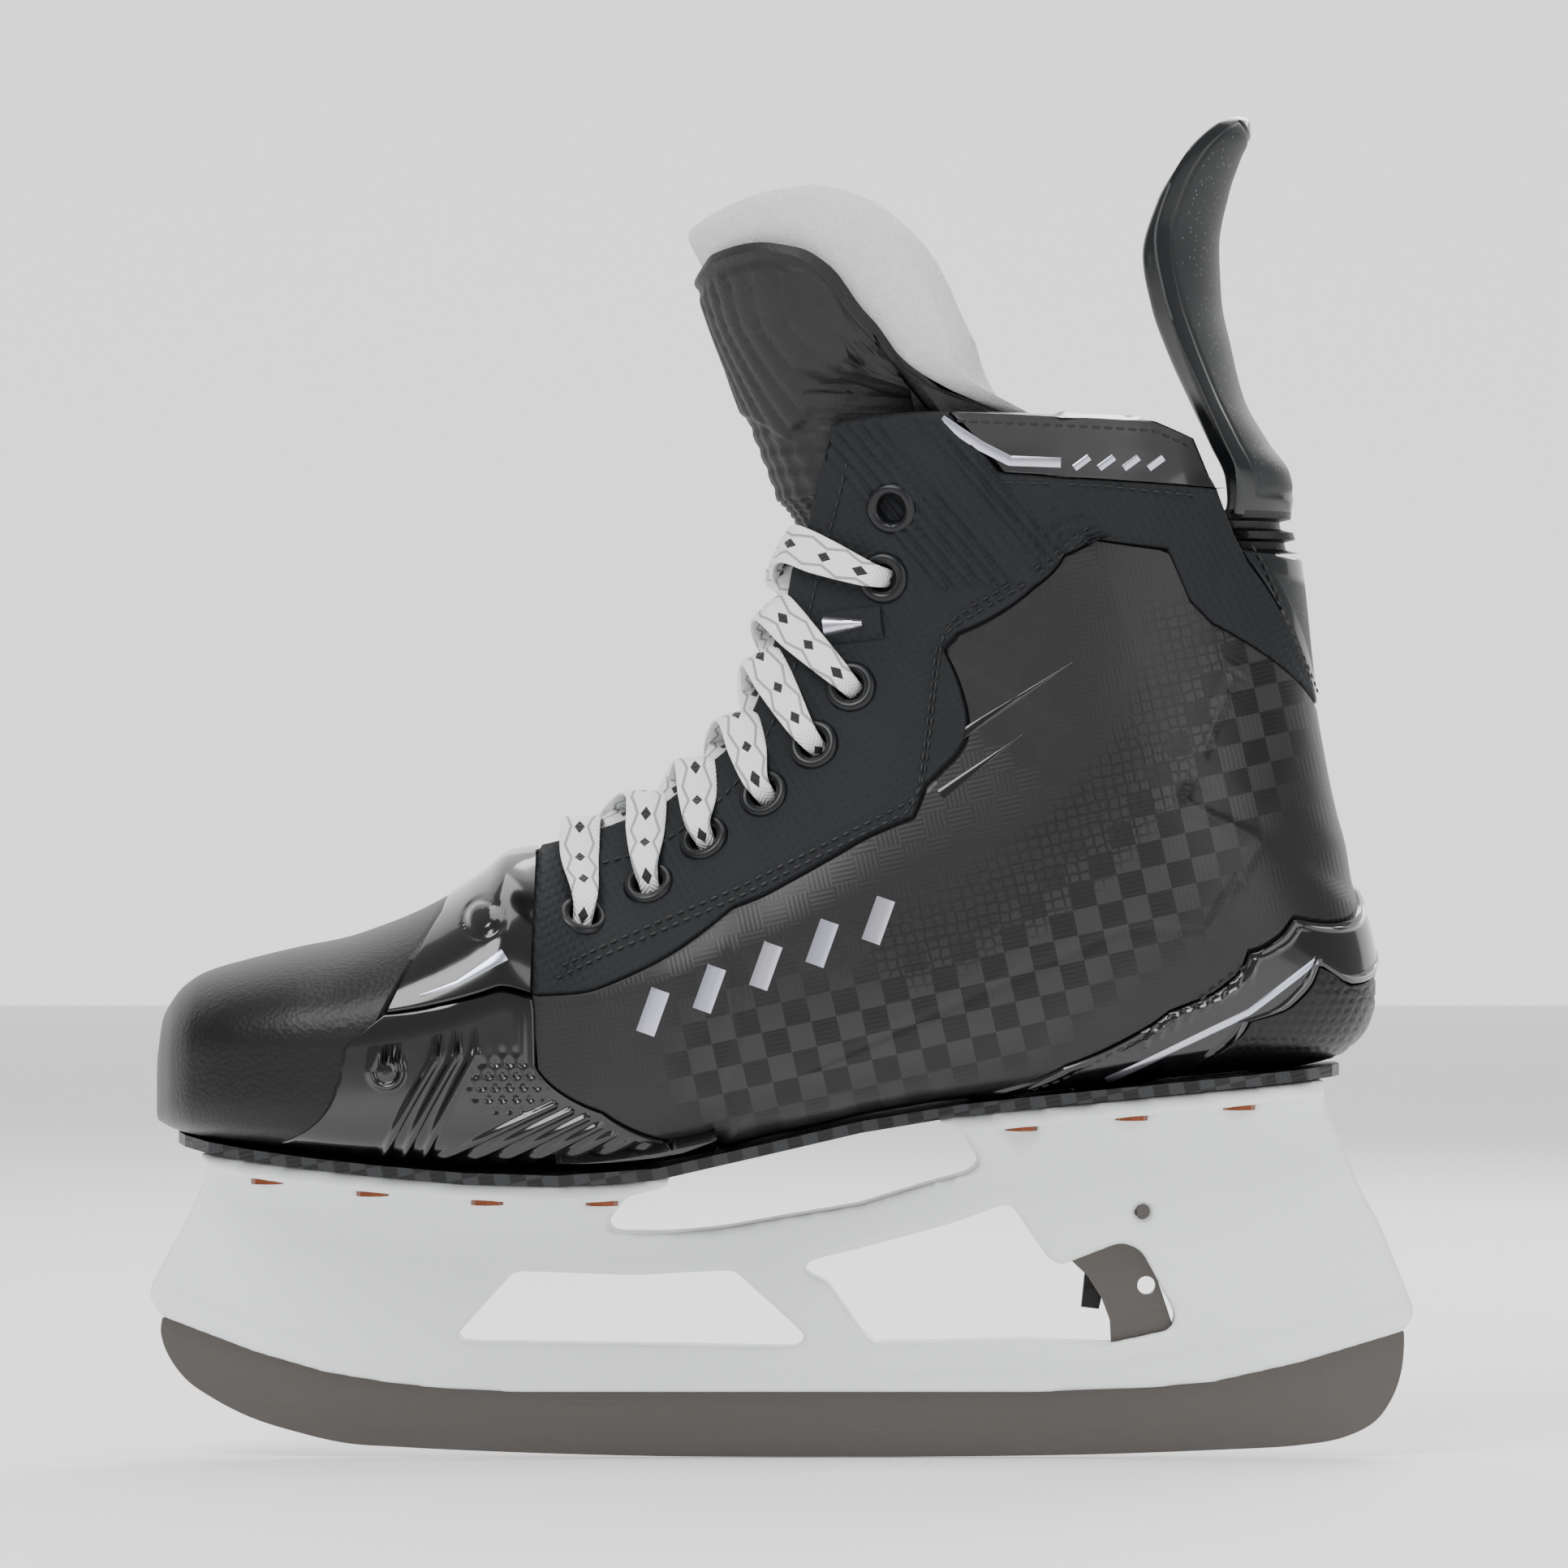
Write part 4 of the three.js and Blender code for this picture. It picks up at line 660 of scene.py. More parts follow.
def bonded_thread(colours):
    # Bonded nylon thread: a waxed twist, a shade paler than the panel it holds.
    material, tree, shader = finish("bonded_thread", colours.thread, 0.55)
    twist = put(tree, "TexWave", {"Vector": place(tree, (1, 1, 1), (0.4, 0.4, 0.4)), "Scale": 260.0})
    bump(tree, shader, twist.outputs["Fac"], 0.0001, 0.5)
    return material


# ---------------------------------------------------------------- what a user would change
class SkateSizes(bpy.types.PropertyGroup):
    """Sizes of the fine parts, in metres."""

    stitch: bpy.props.FloatProperty(name="Stitch", description="From one stitch to the next",
                                    default=0.0027, subtype="DISTANCE", unit="LENGTH", precision=4)
    overlay: bpy.props.FloatProperty(name="Overlay", description="How far the overlays stand proud",
                                     default=0.0009, subtype="DISTANCE", unit="LENGTH", precision=4)
    lace_width: bpy.props.FloatProperty(name="Lace width", description="Width of the flat lace",
                                        default=0.009, subtype="DISTANCE", unit="LENGTH", precision=4)
    lace_thick: bpy.props.FloatProperty(name="Lace thickness", description="Thickness of the lace",
                                        default=0.0014, subtype="DISTANCE", unit="LENGTH", precision=4)


class SkateColours(bpy.types.PropertyGroup):
    """Colours of the main materials, as linear values."""

    cap: bpy.props.FloatVectorProperty(name="Cap", description="Satin toe cap", subtype="COLOR",
                                       default=linear("0d0d0e"))
    cap_shade: bpy.props.FloatVectorProperty(name="Cap shade", description="The darker of its two shades",
                                             subtype="COLOR",
                                             default=linear("070708"))
    gloss: bpy.props.FloatVectorProperty(name="Overlays", description="Glossy overlays", subtype="COLOR",
                                         default=linear("0b0b0d"))
    facing: bpy.props.FloatVectorProperty(name="Facing", description="Matte facing", subtype="COLOR",
                                          default=linear("202225"))
    facing_shade: bpy.props.FloatVectorProperty(name="Facing shade",
                                                description="The darker of its two shades", subtype="COLOR",
                                                default=linear("17181a"))
    lining: bpy.props.FloatVectorProperty(name="Lining", description="Brushed lining", subtype="COLOR",
                                          default=linear("1a1b1d"))
    holder: bpy.props.FloatVectorProperty(name="Holder", description="White holder", subtype="COLOR",
                                          default=linear("eef2f1"))
    steel: bpy.props.FloatVectorProperty(name="Steel", description="Ground runner", subtype="COLOR",
                                         default=linear("5d5956"))
    felt: bpy.props.FloatVectorProperty(name="Felt", description="Tongue felt", subtype="COLOR",
                                        default=linear("f6f7f6"))
    felt_shade: bpy.props.FloatVectorProperty(name="Felt shade", description="The darker of its two shades",
                                              subtype="COLOR",
                                              default=linear("d9dcda"))
    tongue: bpy.props.FloatVectorProperty(name="Tongue", description="Tongue face", subtype="COLOR",
                                          default=linear("262527"))
    tongue_shade: bpy.props.FloatVectorProperty(name="Tongue shade",
                                                description="The darker of its two shades", subtype="COLOR",
                                                default=linear("1b1a1c"))
    lace: bpy.props.FloatVectorProperty(name="Lace", description="Ground of the lace", subtype="COLOR",
                                        default=linear("f2f3f2"))
    guard: bpy.props.FloatVectorProperty(name="Guard", description="Tendon guard", subtype="COLOR",
                                         default=linear("17191b"))
    thread: bpy.props.FloatVectorProperty(name="Thread", description="Seam thread", subtype="COLOR",
                                          default=linear("101113"))


MADE = {}


def coat(thing, maker, *more):
    """Gives a piece its finish, each finish being made once."""
    key = (maker.__name__, *[m for m in more if isinstance(m, str)])
    if key not in MADE:
        MADE[key] = maker(*more) if more else maker(bpy.context.scene.skate_colours)
    thing.data.materials.clear()
    thing.data.materials.append(MADE[key])
    return thing


def dress(thing, body, slot, *nodes):
    """Sets a piece on its body and hides the imported nodes that it stands for. Its slot is not used."""
    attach(thing, body)
    if nodes:
        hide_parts(*nodes)
    return thing


def round_back(u, turn, side=LATERAL):
    """Carries a half panel on round the heel to the other side, its last column being the middle."""
    far = 2 * np.pi - turn[:, ::-1][:, 1:]
    return np.hstack([u, u[:, ::-1][:, 1:]]), -np.hstack([turn, far])


def over_top(u, turn):
    """Carries a half panel over the throat to the other side, its last column being the middle."""
    return np.hstack([u, u[:, ::-1][:, 1:]]), np.hstack([-turn, turn[:, ::-1][:, 1:]])


def bell(value, half):
    """A smooth bump that is 1 at nought and dies out at half."""
    return np.clip(1 - (value / half) ** 2, 0, 1) ** 2


def ridge(x, z, line, half):
    """A rounded ridge along a side-view line: the bell of the distance to its nearest stretch."""
    best = np.full(x.shape, 1e3)
    for (ax, az), (bx, bz) in zip(line[:-1], line[1:]):
        t = np.clip(((x - ax) * (bx - ax) + (z - az) * (bz - az)) / ((bx - ax) ** 2 + (bz - az) ** 2), 0, 1)
        best = np.minimum(best, np.hypot(x - ax - t * (bx - ax), z - az - t * (bz - az)))
    return bell(best, half)


# ---------------------------------------------------------------- toe
def toe_cap(sizes):
    """The cap's skin runs from the tip back to its seam, the rows gathering towards the tip."""
    seam = locate(CAP_SEAM)
    at = smooth(sorted({float(t): float(u) for u, t in seam}.items()))
    turn = np.linspace(-np.pi, np.pi, 301)[:-1]
    t = np.linspace(0, 1, 110)[:, None] ** 2.2
    u = TOE_U + (at(np.abs(turn))[None] - TOE_U) * t
    turn = np.broadcast_to(turn, u.shape)
    thing = panel("toe_cap_skin", u, turn, 0.45, edges="b", closed=True, round_cols=True)
    tip = boot(np.full(300, TOE_U), turn[0], closed=True)
    rings = np.stack([tip - [0.45, 0, 0], tip + [3.0, 0, 0]])
    nose = sweep("toe_cap_nose", rings)
    for part in (thing, nose):
        coat(part, moulded_satin_black)
    dress(thing, "boot", "toe_cap", "toe_cap")
    dress(nose, "boot", "toe_cap")


def toe_bridge(sizes):
    """The glossy band over the foot behind the cap, with a round button on each side."""
    cap = locate([(-87.2, 100.7), (-80, 113.6), (-75.3, 122.1), (-73.8, 131)])
    cap = np.vstack([cap, [cap[-1][0] + 0.6, 0]])
    front = locate([(-54.5, 104.9), (-54.5, 115), (-54.4, 126), (-54.3, 134)])
    front = np.vstack([front, [front[-1][0], 0]])
    u, turn = over_top(*weave_between(*strip([(cap, front)], 110), 44))

    def relief(base, distance, ways):
        x, z = base[..., 0], base[..., 2]
        away = np.hypot(x + 65.4, z - 121.2)
        return 0.8 * bell(np.maximum(away - 2.2, 0), 1.2) - 0.35 * bell(away - 4.2, 0.8)

    thing = panel("toe_bridge_skin", u, turn, sizes.overlay / MM, relief=relief, closed=True)
    dress(coat(thing, glossy_polyurethane), "boot", "gloss_overlay", "toe_bridge")


def toe_guard(sizes, name, side):
    """The glossy overlay by the toes: bars, a field of dimples and a fan of ribs."""
    cap = locate([(-87.2, 100.7), (-98, 85.1), (-110.6, 67)])
    cap = np.vstack([cap[:-1], [cap[-1][0], CAP_HEM], [cap[-1][0], UNDER]])
    rear = locate(GUARD_SEAM)
    rear = np.vstack([rear[:-1], [rear[-1][0], GUARD_HEM], [rear[-1][0], UNDER]])
    u, turn = weave_between(*strip([(cap, rear)], 190), 210)

    def relief(base, distance, ways):
        x, z = base[..., 0], base[..., 2]
        away = np.hypot(x + 86.5, z - 88.3)
        height = 0.9 * bell(away - 3.4, 1.1) + 0.5 * bell(np.maximum(away - 1.2, 0), 1.0)
        ribs = np.zeros(x.shape)
        for k in range(3):
            ribs += 1.0 * ridge(x, z, [(-75 + 4 * k, 92), (-88 + 4.6 * k, 70)], 1.4)
        for k in range(8):
            ribs += 0.85 * ridge(x, z, [(-50 + 3.6 * k, 81 - 1.3 * k), (-76 + 6.2 * k, 69.5 - 0.4 * k)], 1.15)
        row = np.round((z - 85) / 2.6)
        column = (x + 62.7) / 3.0 + 0.5 * (row % 2)
        dimple = np.hypot((column - np.round(column)) * 3.0, z - 85 - row * 2.6)
        field = np.clip(2.4 - np.hypot((x + 60.0) / 7.5, (z - 85.5) / 6.5) * 2, 0, 1)
        height += ribs * np.clip((distance - 2.5) / 3, 0, 1) - 0.7 * field * bell(dimple, 1.15)
        return height

    thing = panel(f"toe_guard_{name}_skin", u, turn * side, sizes.overlay / MM, relief=relief)
    dress(coat(thing, glossy_polyurethane), "boot", "gloss_overlay", f"toe_guard_{name}")


# ---------------------------------------------------------------- quarter, facing, collar, heel
def quarter(sizes):
    """The shell's carbon sides, from the toe guards round the heel, with a chevron pressed in each side."""
    sole = [np.array([locate([(x, float(sole_z(x)) + 4)])[0][0], UNDER]) for x in (-14, 10, 30, 43)]
    sole = np.array(sole)
    guard = locate(GUARD_SEAM)
    guard = np.vstack([guard[:-1], [guard[-1][0], GUARD_HEM], sole[:1]])
    band = np.vstack([sole[-1:], locate(BAND_TOP)])
    band[-1, 1] = np.pi
    facing = locate([*FACING_SEAM, (120.4, 168.5)])
    facing[-1, 1] = np.pi
    pairs = [(guard, facing[:2]), (sole, facing[1:4]), (band[:4], facing[3:6]), (band[3:5], facing[5:8]),
             (band[4:], facing[7:])]
    first, second = strip(pairs, 225)
    u, turn = round_back(*weave_between(first, second, 104))

    def relief(base, distance, ways):
        x, z = base[..., 0], base[..., 2]
        chevron = ridge(x, z, [(101, 178), (88.5, 147), (106, 139), (94, 119)], 1.5)
        groove = ridge(x, z, [(94, 119), (75, 119), (6.8, 88.6)], 1.1)
        return 0.6 * chevron - 0.35 * groove

    def marks(base):
        x, z = base[..., 0], base[..., 2]
        check = ridge(x, z, [(-10, 90), (20, 95), (48, 103), (78, 127), (96, 150), (106, 176)], 24)
        comb = ridge(x, z, [(28, 116), (52, 127), (70, 142), (84, 160), (92, 184)], 15)
        return {"check": np.clip(check * 1.5 - 0.3, 0, 1), "comb": np.clip(comb * 2 - 0.2, 0, 1) * 0.9}

    thing = panel("quarter_skin", u, turn, 0.25, relief=relief, marks=marks)
    coat(thing, carbon_weave, "clearcoat_carbon", linear("1b1a1c"), linear("09090a"), linear("2b2a2a"),
         0.0056, True)
    dress(thing, "boot", "quarter", "quarter_shell")


def facing(sizes, name, side):
    """The matte facing by the lace, with ridges along the ankle's diagonal seam and wells for the eyelets."""
    seam = locate(FACING_SEAM)

    def edge(a, b, count):
        return np.stack([np.linspace(a, b, count), np.full(count, 0.0)], -1)

    collar_u = TURN + 16.2
    pairs = [(edge(-29.35, 60, 12), seam[:3]), (edge(60, collar_u, 8), seam[2:5]),
             (np.vstack([edge(collar_u, collar_u, 1), locate([(24, 233.3), (33, 233.5), (36.9, 233.4)])]),
              seam[4:6]),
             (locate(EDGE_SEAM), seam[5:9]), (locate([(96.4, 216.7), *BASE_SEAM]), seam[8:])]
    first, second = strip(pairs, 340)
    u, turn = weave_between(first, second, 108)
    wells = [on_boot(x, z, side)[0] for x, z in EYELETS]

    def relief(base, distance, ways):
        x, z = base[..., 0], base[..., 2]
        height = np.zeros(x.shape)
        for k in range(-6, 7):
            if k:
                shift = 3.1 * k + np.sign(k) * 1.5
                line = [(26 + shift, 232.6 + 0.3 * k), (56.5 + shift, 196.5 + 0.3 * k)]
                height += 0.8 * ridge(x, z, line, 1.35)
        height += 0.8 * ridge(x, z, [(24.5, 232), (55.5, 196)], 2.4)
        for well in wells:
            away = np.linalg.norm(base - well, axis=-1)
            height -= 3.0 * np.clip((3.6 - away) / 0.6, 0, 1)
        return height

    thing = panel(f"facing_{name}", u, turn * side, 0.7, relief=relief)
    dress(coat(thing, woven_facing), "boot", "facing", f"eyestay_{name}")


def comfort_edge(sizes, name, side):
    """The glossy edge of the collar. Its silver stripe is laid on by stripes."""
    first, second = strip([(locate(EDGE_SEAM), locate(COLLAR_TOP))], 120)
    u, turn = weave_between(first, second, 34)
    thing = panel(f"comfort_edge_{name}_skin", u, turn * side, sizes.overlay / MM, roll=1.6)
    dress(coat(thing, glossy_polyurethane), "boot", "gloss_overlay", f"comfort_edge_{name}")


def heel_band(sizes):
    """The glossy band round the heel, with slanted ribs on each side."""
    top = locate([(43, 77), *BAND_TOP])
    low = locate([(68, 80), *BAND_LOW])
    top[0, 1] = low[0, 1] = UNDER
    top[-1, 1] = low[-1, 1] = np.pi
    u, turn = round_back(*weave_between(*strip([(top[:4], low[:3]), (top[3:], low[2:])], 170), 40))

    def relief(base, distance, ways):
        x, z = base[..., 0], base[..., 2]
        height = 0.5 * bell(distance - 2.2, 0.8)
        for k in range(8):
            height += 0.5 * ridge(x, z, [(85 + 3.3 * k, 112 + 1.6 * k), (80 + 3.3 * k, 94 + 1.9 * k)], 1.0)
        return height

    thing = panel("heel_band_skin", u, turn, sizes.overlay / MM, relief=relief)
    dress(coat(thing, glossy_polyurethane), "boot", "gloss_overlay", "heel_band")


def heel_cup(sizes):
    """The matte cup below the heel band, pricked all over with tiny holes."""
    low = locate([(68, 80), *BAND_LOW])
    low[0, 1] = UNDER
    low[-1, 1] = np.pi - 0.001
    edge = resample(low, 150)
    far = np.stack([edge[:, 0], 2 * np.pi - edge[:, 1]], -1)
    u, turn = weave_between(edge, far, 150)

    def relief(base, distance, ways):
        x, z = base[..., 0], base[..., 2]
        row = np.round(z / 2.2)
        column = x / 2.2 + 0.5 * (row % 2)
        return -0.3 * bell(np.hypot((column - np.round(column)) * 2.2, z - row * 2.2), 0.75)

    thing = panel("heel_cup_skin", u, -turn, 0.3, edges="ab", relief=relief)
    dress(coat(thing, moulded_satin_black), "boot", "toe_cap", "heel_cup")


def guard_base(sizes):
    """The tendon guard's sewn base across the back of the collar."""
    side = resample(locate([(101.4, 203.5), *BASE_SEAM[1:]]), 60)
    far = np.stack([side[:, 0], 2 * np.pi - side[:, 1]], -1)
    u, turn = weave_between(side, far, 80)
    thing = panel("guard_base_skin", u, -turn, 0.6, roll=1.4)
    dress(coat(thing, speckled_plastic), "boot", "black_plastic", "guard_base")


def lining(sizes):
    """The padded lining: a tube round the foot and ankle between two insets of the boot's form."""
    collar = locate([(16.2, 231.4), (21, 232.6), (37.4, 232.6), (82.4, 230.2), (91.4, 226.5), (96.3, 215.4),
                     (100.5, 204.6), (104, 200.6), (112, 200.6)])
    rim = smooth(sorted({float(t): float(u) for u, t in np.vstack([collar, [collar[-1][0], np.pi]])}.items()))
    turn = np.linspace(0.02, 2 * np.pi - 0.02, 200)
    top = rim(np.minimum(turn, 2 * np.pi - turn))
    t = np.linspace(0, 1, 150)[:, None]
    u = -25 + (top[None] + 25) * t
    turn = np.broadcast_to(turn, u.shape)
    outside = boot(u, -turn, 3.7)
    inside = boot(u, -turn, 8.1)
    _, left = lengths(outside, 0)
    pinch = (1 - np.sqrt(1 - (1 - np.clip(left / 2.2, 0, 1)) ** 2))[..., None] / 2
    thing = slab("lining", outside + (inside - outside) * pinch, inside + (outside - inside) * pinch)
    dress(coat(thing, brushed_lining), "boot", "liner", "liner")


# ---------------------------------------------------------------- tongue and tendon guard
# By u: the tongue's front line, its half width and how far its wings wrap back.
TONGUE = [(-24, 92, 22, 12), (10, 81, 22, 13), (50, 58, 21, 16), (85, 47, 21, 20), (110, 36, 22, 24),
          (157, 24, 27, 34), (172, 18.5, 31, 46), (180, 15.5, 34, 50), (192, 11, 37, 52),
          (207, 5.5, 39.5, 55),
          (218, 0.5, 41, 56), (228, -2, 42, 55)]
TONGUE_LINES = [smooth([(row[0], row[k]) for row in TONGUE]) for k in (1, 2, 3)]
TONGUE_ROOM = 16.1
FELT_EDGE = [(-26.5, 273), (-15.9, 279.8), (-5.5, 283.3), (3.7, 284.2), (12.1, 282.5), (20.5, 277),
             (28.1, 267.9),
             (34.4, 256), (39.3, 244.9), (42.4, 233.6), (46, 228), (52, 190)]
FACE_EDGE = [(-27, 263), (-20.1, 265.2), (-15.9, 269.2), (-5.5, 271.2), (1.5, 270.1), (8.6, 265.7),
             (14.8, 257.3),
             (20.5, 250.4), (26, 234.3), (33, 226), (38, 195)]
# The felt is drawn this share narrower, in full from this half width on, so that it stays behind the face.
FELT_TRIM, FELT_TRIM_FROM = 0.07, 18


def tongue_skin(u, share, inset):
    """The tongue: bowed across, its wings wrapped back, and kept inside the lining below the collar."""
    front, wide, depth = (line(u) for line in TONGUE_LINES)
    wide = wide - inset
    y = wide * np.sin(np.pi / 2 * share * 0.96)
    own = front + depth * (1 - np.sqrt(1 - (y / wide) ** 2))
    level = np.minimum(u, CUFF_U)
    near = inner(level) + TONGUE_ROOM
    far = outer(level) - TONGUE_ROOM
    gap = np.maximum(throat(level) - 4, 0)
    beyond = np.clip((np.abs(y) - gap) / np.maximum(half_width(level) - TONGUE_ROOM - gap, 1), 0, 1)
    across = (1 - (1 - beyond ** (1 / front_root(level))) ** (1 / front_power(level))) / 2
    held = np.where(np.abs(y) > gap, near + (far - near) * across, 0)
    low = np.maximum(own, held)
    share_own = np.clip((u - TURN - 10) / 20, 0, 1)
    share_own = share_own * share_own * (3 - 2 * share_own)
    return on_fan(u, low + (own - low) * share_own + inset, y)


def tongue_grid(edge, rows, cols, inset):
    """u and the share across, from the tongue's foot up to its trimmed edge."""
    line = smooth(edge)
    share = np.linspace(-1, 1, cols)
    top = np.full(cols, 220.0)
    for _ in range(14):
        x = tongue_skin(top, share, inset)[:, 0]
        top = (top + TURN + line(x) - SPINE_Z) / 2
    t = np.linspace(0, 1, rows)[:, None]
    return -24 + (top + 24) * t, np.broadcast_to(share, (rows, cols))


def tongue(sizes):
    """A face with wave grooves over its top, and a thick felt behind it with a soft rolled rim."""
    u, share = tongue_grid(FACE_EDGE, 300, 130, 0.0)
    base = tongue_skin(u, share, 0.0)
    x, y, z = base[..., 0], base[..., 1], base[..., 2]
    _, left = lengths(base, 0)
    side, other = lengths(base, 1)
    rim = np.minimum.reduce([left, side, other])
    border = np.interp(np.abs(x + 27) - 27, [-27, -7.9, 1.3, 18.3], [236, 233.6, 227.5, 247.6])
    panel_top = np.clip((z - border) / 1.2, 0, 1)
    zigzag = np.abs(((z + 6) / 26) % 2 - 1) * 5
    waves = np.sqrt(np.abs(np.sin(np.pi * (np.abs(y) + zigzag) / 4.6))) * np.clip((rim - 4) / 2, 0, 1)
    lattice = np.cos(2 * np.pi * (u + y) / 9) * np.cos(2 * np.pi * (u - y) / 9)
    height = 0.9 * waves * panel_top + 0.35 * np.clip(lattice * 2, -1, 1) * (1 - panel_top)
    height += 0.5 * panel_top + 0.5 * bell(rim - 2, 1.2)
    height -= 1.0 * (1 - np.sqrt(1 - (1 - np.clip(rim / 1.2, 0, 1)) ** 2))
    out = grid_normals(base)
    out *= np.sign(-out[..., 0].sum())
    face = slab("tongue_face", base + out * (height - 0.3)[..., None], tongue_skin(u, share, 2.4))
    coat(face, embossed_leather)
    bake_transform(face)
    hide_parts("tongue_face_lower", "tongue_face_upper")

    u, share = tongue_grid(FELT_EDGE, 260, 130, 3.3)
    narrow = np.clip((u - TURN - 6) / 12, 0, 1)
    share = share * (0.66 + 0.34 * narrow * narrow * (3 - 2 * narrow))
    front = tongue_skin(u, share, 3.0)
    back = tongue_skin(u, share, 9.7)
    for layer in (front, back):
        layer[..., 1] *= 1 - FELT_TRIM * np.clip(np.abs(layer[..., 1]) / FELT_TRIM_FROM, 0, 1)
    _, left = lengths(front, 0)
    side, other = lengths(front, 1)
    rim = np.minimum.reduce([left, side, other])
    soft = 1 - np.sqrt(1 - (1 - np.clip(rim / 3.4, 0, 1)) ** 2)
    lumps = 0.35 * np.sin(u / 7.3) * np.sin(front[..., 1] / 5.1 + u / 19)
    middle = (front + back) / 2
    pull = (soft * 0.98)[..., None]
    out = (front - back) / 6.7 * lumps[..., None] * (1 - soft)[..., None]
    felt = slab("tongue_felt", front + (middle - front) * pull + out, back + (middle - back) * pull - out)
    coat(felt, needled_felt)
    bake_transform(felt)
    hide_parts("tongue_felt_lower", "tongue_felt_upper")


# By height: the front edge of the tendon guard's wings, the back of its spine, and its half width.
GUARD = [(201.9, 101.8, 116.6, 15), (206, 101.2, 115.6, 17), (210.8, 100.2, 114.6, 20), (216, 101, 115.2, 22),
         (221, 100.6, 114.4, 24), (228, 97.6, 109.6, 26), (238, 93, 104, 28), (250, 87.7, 101, 29.5),
         (260, 84.2, 99, 30), (272, 82.1, 98.5, 30), (284, 85.3, 100.7, 28.5), (292, 89.9, 103.4, 25),
         (297.5, 95.2, 105.6, 19), (300.2, 99.2, 105.4, 12), (301.2, 102, 104.6, 5)]


def guard_wall(z, across, wall):
    """A wall bowed across: its depth falls off as the square of the share across."""
    front, back, wide = (smooth([(row[0], row[k]) for row in GUARD])(z) for k in (1, 2, 3))
    depth = back - front - wall
    return np.stack(np.broadcast_arrays(back - wall - (depth - 0.3) * across ** 2,
                                        (wide - wall * 0.4) * across, z), -1)


def tendon_guard(sizes):
    """The guard's bowed wall with a rolled rim, and the two fins it flexes on."""
    z = 210.6 + (301.2 - 210.6) * np.sin(np.linspace(0, np.pi / 2, 150))[:, None]
    across = np.linspace(-1, 1, 120)[None]
    outside = guard_wall(z, across, 0.0)
    inside = guard_wall(z, across, 3.0)
    down, up = lengths(outside, 0)
    left, right = lengths(outside, 1)
    rim = np.minimum.reduce([down, up, left, right])
    soft = ((1 - np.sqrt(1 - (1 - np.clip(rim / 1.6, 0, 1)) ** 2)) * 0.48)[..., None]
    groove = (0.5 * bell(rim - 6.2, 0.9))[..., None]
    wall = inside - outside
    thing = slab("tendon_guard_wall", outside + wall * (soft + groove / 3), inside - wall * soft,
                 attributes={"edge": rim * MM})
    dress(coat(thing, speckled_plastic), "tendon_guard", "black_plastic")

    z = np.linspace(203.2, 212.5, 70)[:, None]
    fins = np.clip(np.cos(2 * np.pi * (z - 207) / 4.6) * 2.5, -1, 1)
    back = guard_wall(z, across * 0.9, 0.0) - np.stack([1.3 - 1.3 * fins, 0 * z, 0 * z], -1)
    front = guard_wall(z, across * 0.9, 0.0) - [4.6, 0, 0]
    neck = slab("tendon_guard_neck", back, front)
    coat(neck, moulded_satin_black)
    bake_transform(neck)
    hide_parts("tendon_guard")


# ---------------------------------------------------------------- lace
LACED = 7
LACE_RISE = 1.3
CROSSING = 2.3
BELOW_LINING = 3.9 + 4.2 + 0.7 + 0.6
TAIL = [(25.9, 22.1, 197.3), (26.8, 21.8, 196.1), (28.4, 22.1, 193.3), (32, 22.9, 187.3), (37, 24.4, 179),
        (42, 25.6, 168), (44.6, 26, 156), (44.5, 25, 144), (41.8, 21.5, 133.5), (38.5, 16.5, 126),
        (37, 11.5, 120.9), (38.4, 8.6, 118), (41.6, 8.1, 116.8), (45.6, 8, 117.1)]
HANK_START, HANK_TILT, HANK_RUNS, HANK_PITCH = (46, 91.9), 0.098, 8, 3.6


def tongue_depth(u, y):
    """How far the tongue's face lies from the spine."""
    wide = TONGUE_LINES[1](u)
    share = np.arcsin(np.clip(y / wide, -0.99, 0.99)) / (np.pi / 2 * 0.96)
    at = tongue_skin(np.array([u]), np.array([share]), 0.0)
    return float(to_fan(at[0, 0], at[0, 2])[1])


def strand(first, lift):
    """One end of the lace, eyelet by eyelet: over the tongue, down through from outside, and up beneath."""
    route = []
    fan = [to_fan(x, z)[0] for x, z in EYELETS]

    def level(u):
        return min(inner(u), TONGUE_LINES[0](max(u, -24)))

    for i in range(LACED):
        side = first if i % 2 == 0 else -first
        u = float(fan[i])
        point, normal = on_boot(*EYELETS[i], side)
        edge = throat(u) + 1
        before = u if i == 0 else float(u + fan[i - 1]) / 2
        route.append((on_fan(u if i == 0 else before + 2,
                             level(before) - LACE_RISE - 1.2 - (lift if i else 0), 0), 1))
        route.append((on_fan(u - 1, inner(u) - LACE_RISE - 2.2, side * (edge - 1)), 1))
        shoulder = on_fan(u - 1, inner(u) + 4, 0)
        shoulder[1] = side * (boot_y(u - 1, 4 / (outer(u) - inner(u))) + LACE_RISE + 1.6)
        over = point + normal * (LACE_RISE + 2.5)
        route += [(shoulder, 1), (over + (shoulder - over) * 0.2, 0.6), (point - normal * 0.6, 0.47),
                  (point - normal * (BELOW_LINING - (2.9 if i == LACED - 1 else 0.4)), 0.47)]
        if i == LACED - 1:
            return route
        after = float(u + fan[i + 1]) / 2
        rising = side * (throat(after) - 7)
        route.append((on_fan(u + 2, inner(u) + BELOW_LINING + 1.4, side * (throat(u) - 2.5)), 0.6))
        route.append((on_fan(after - 3, min(inner(after) + 3, tongue_depth(after - 3, rising) - 4), rising),
                      0.9))


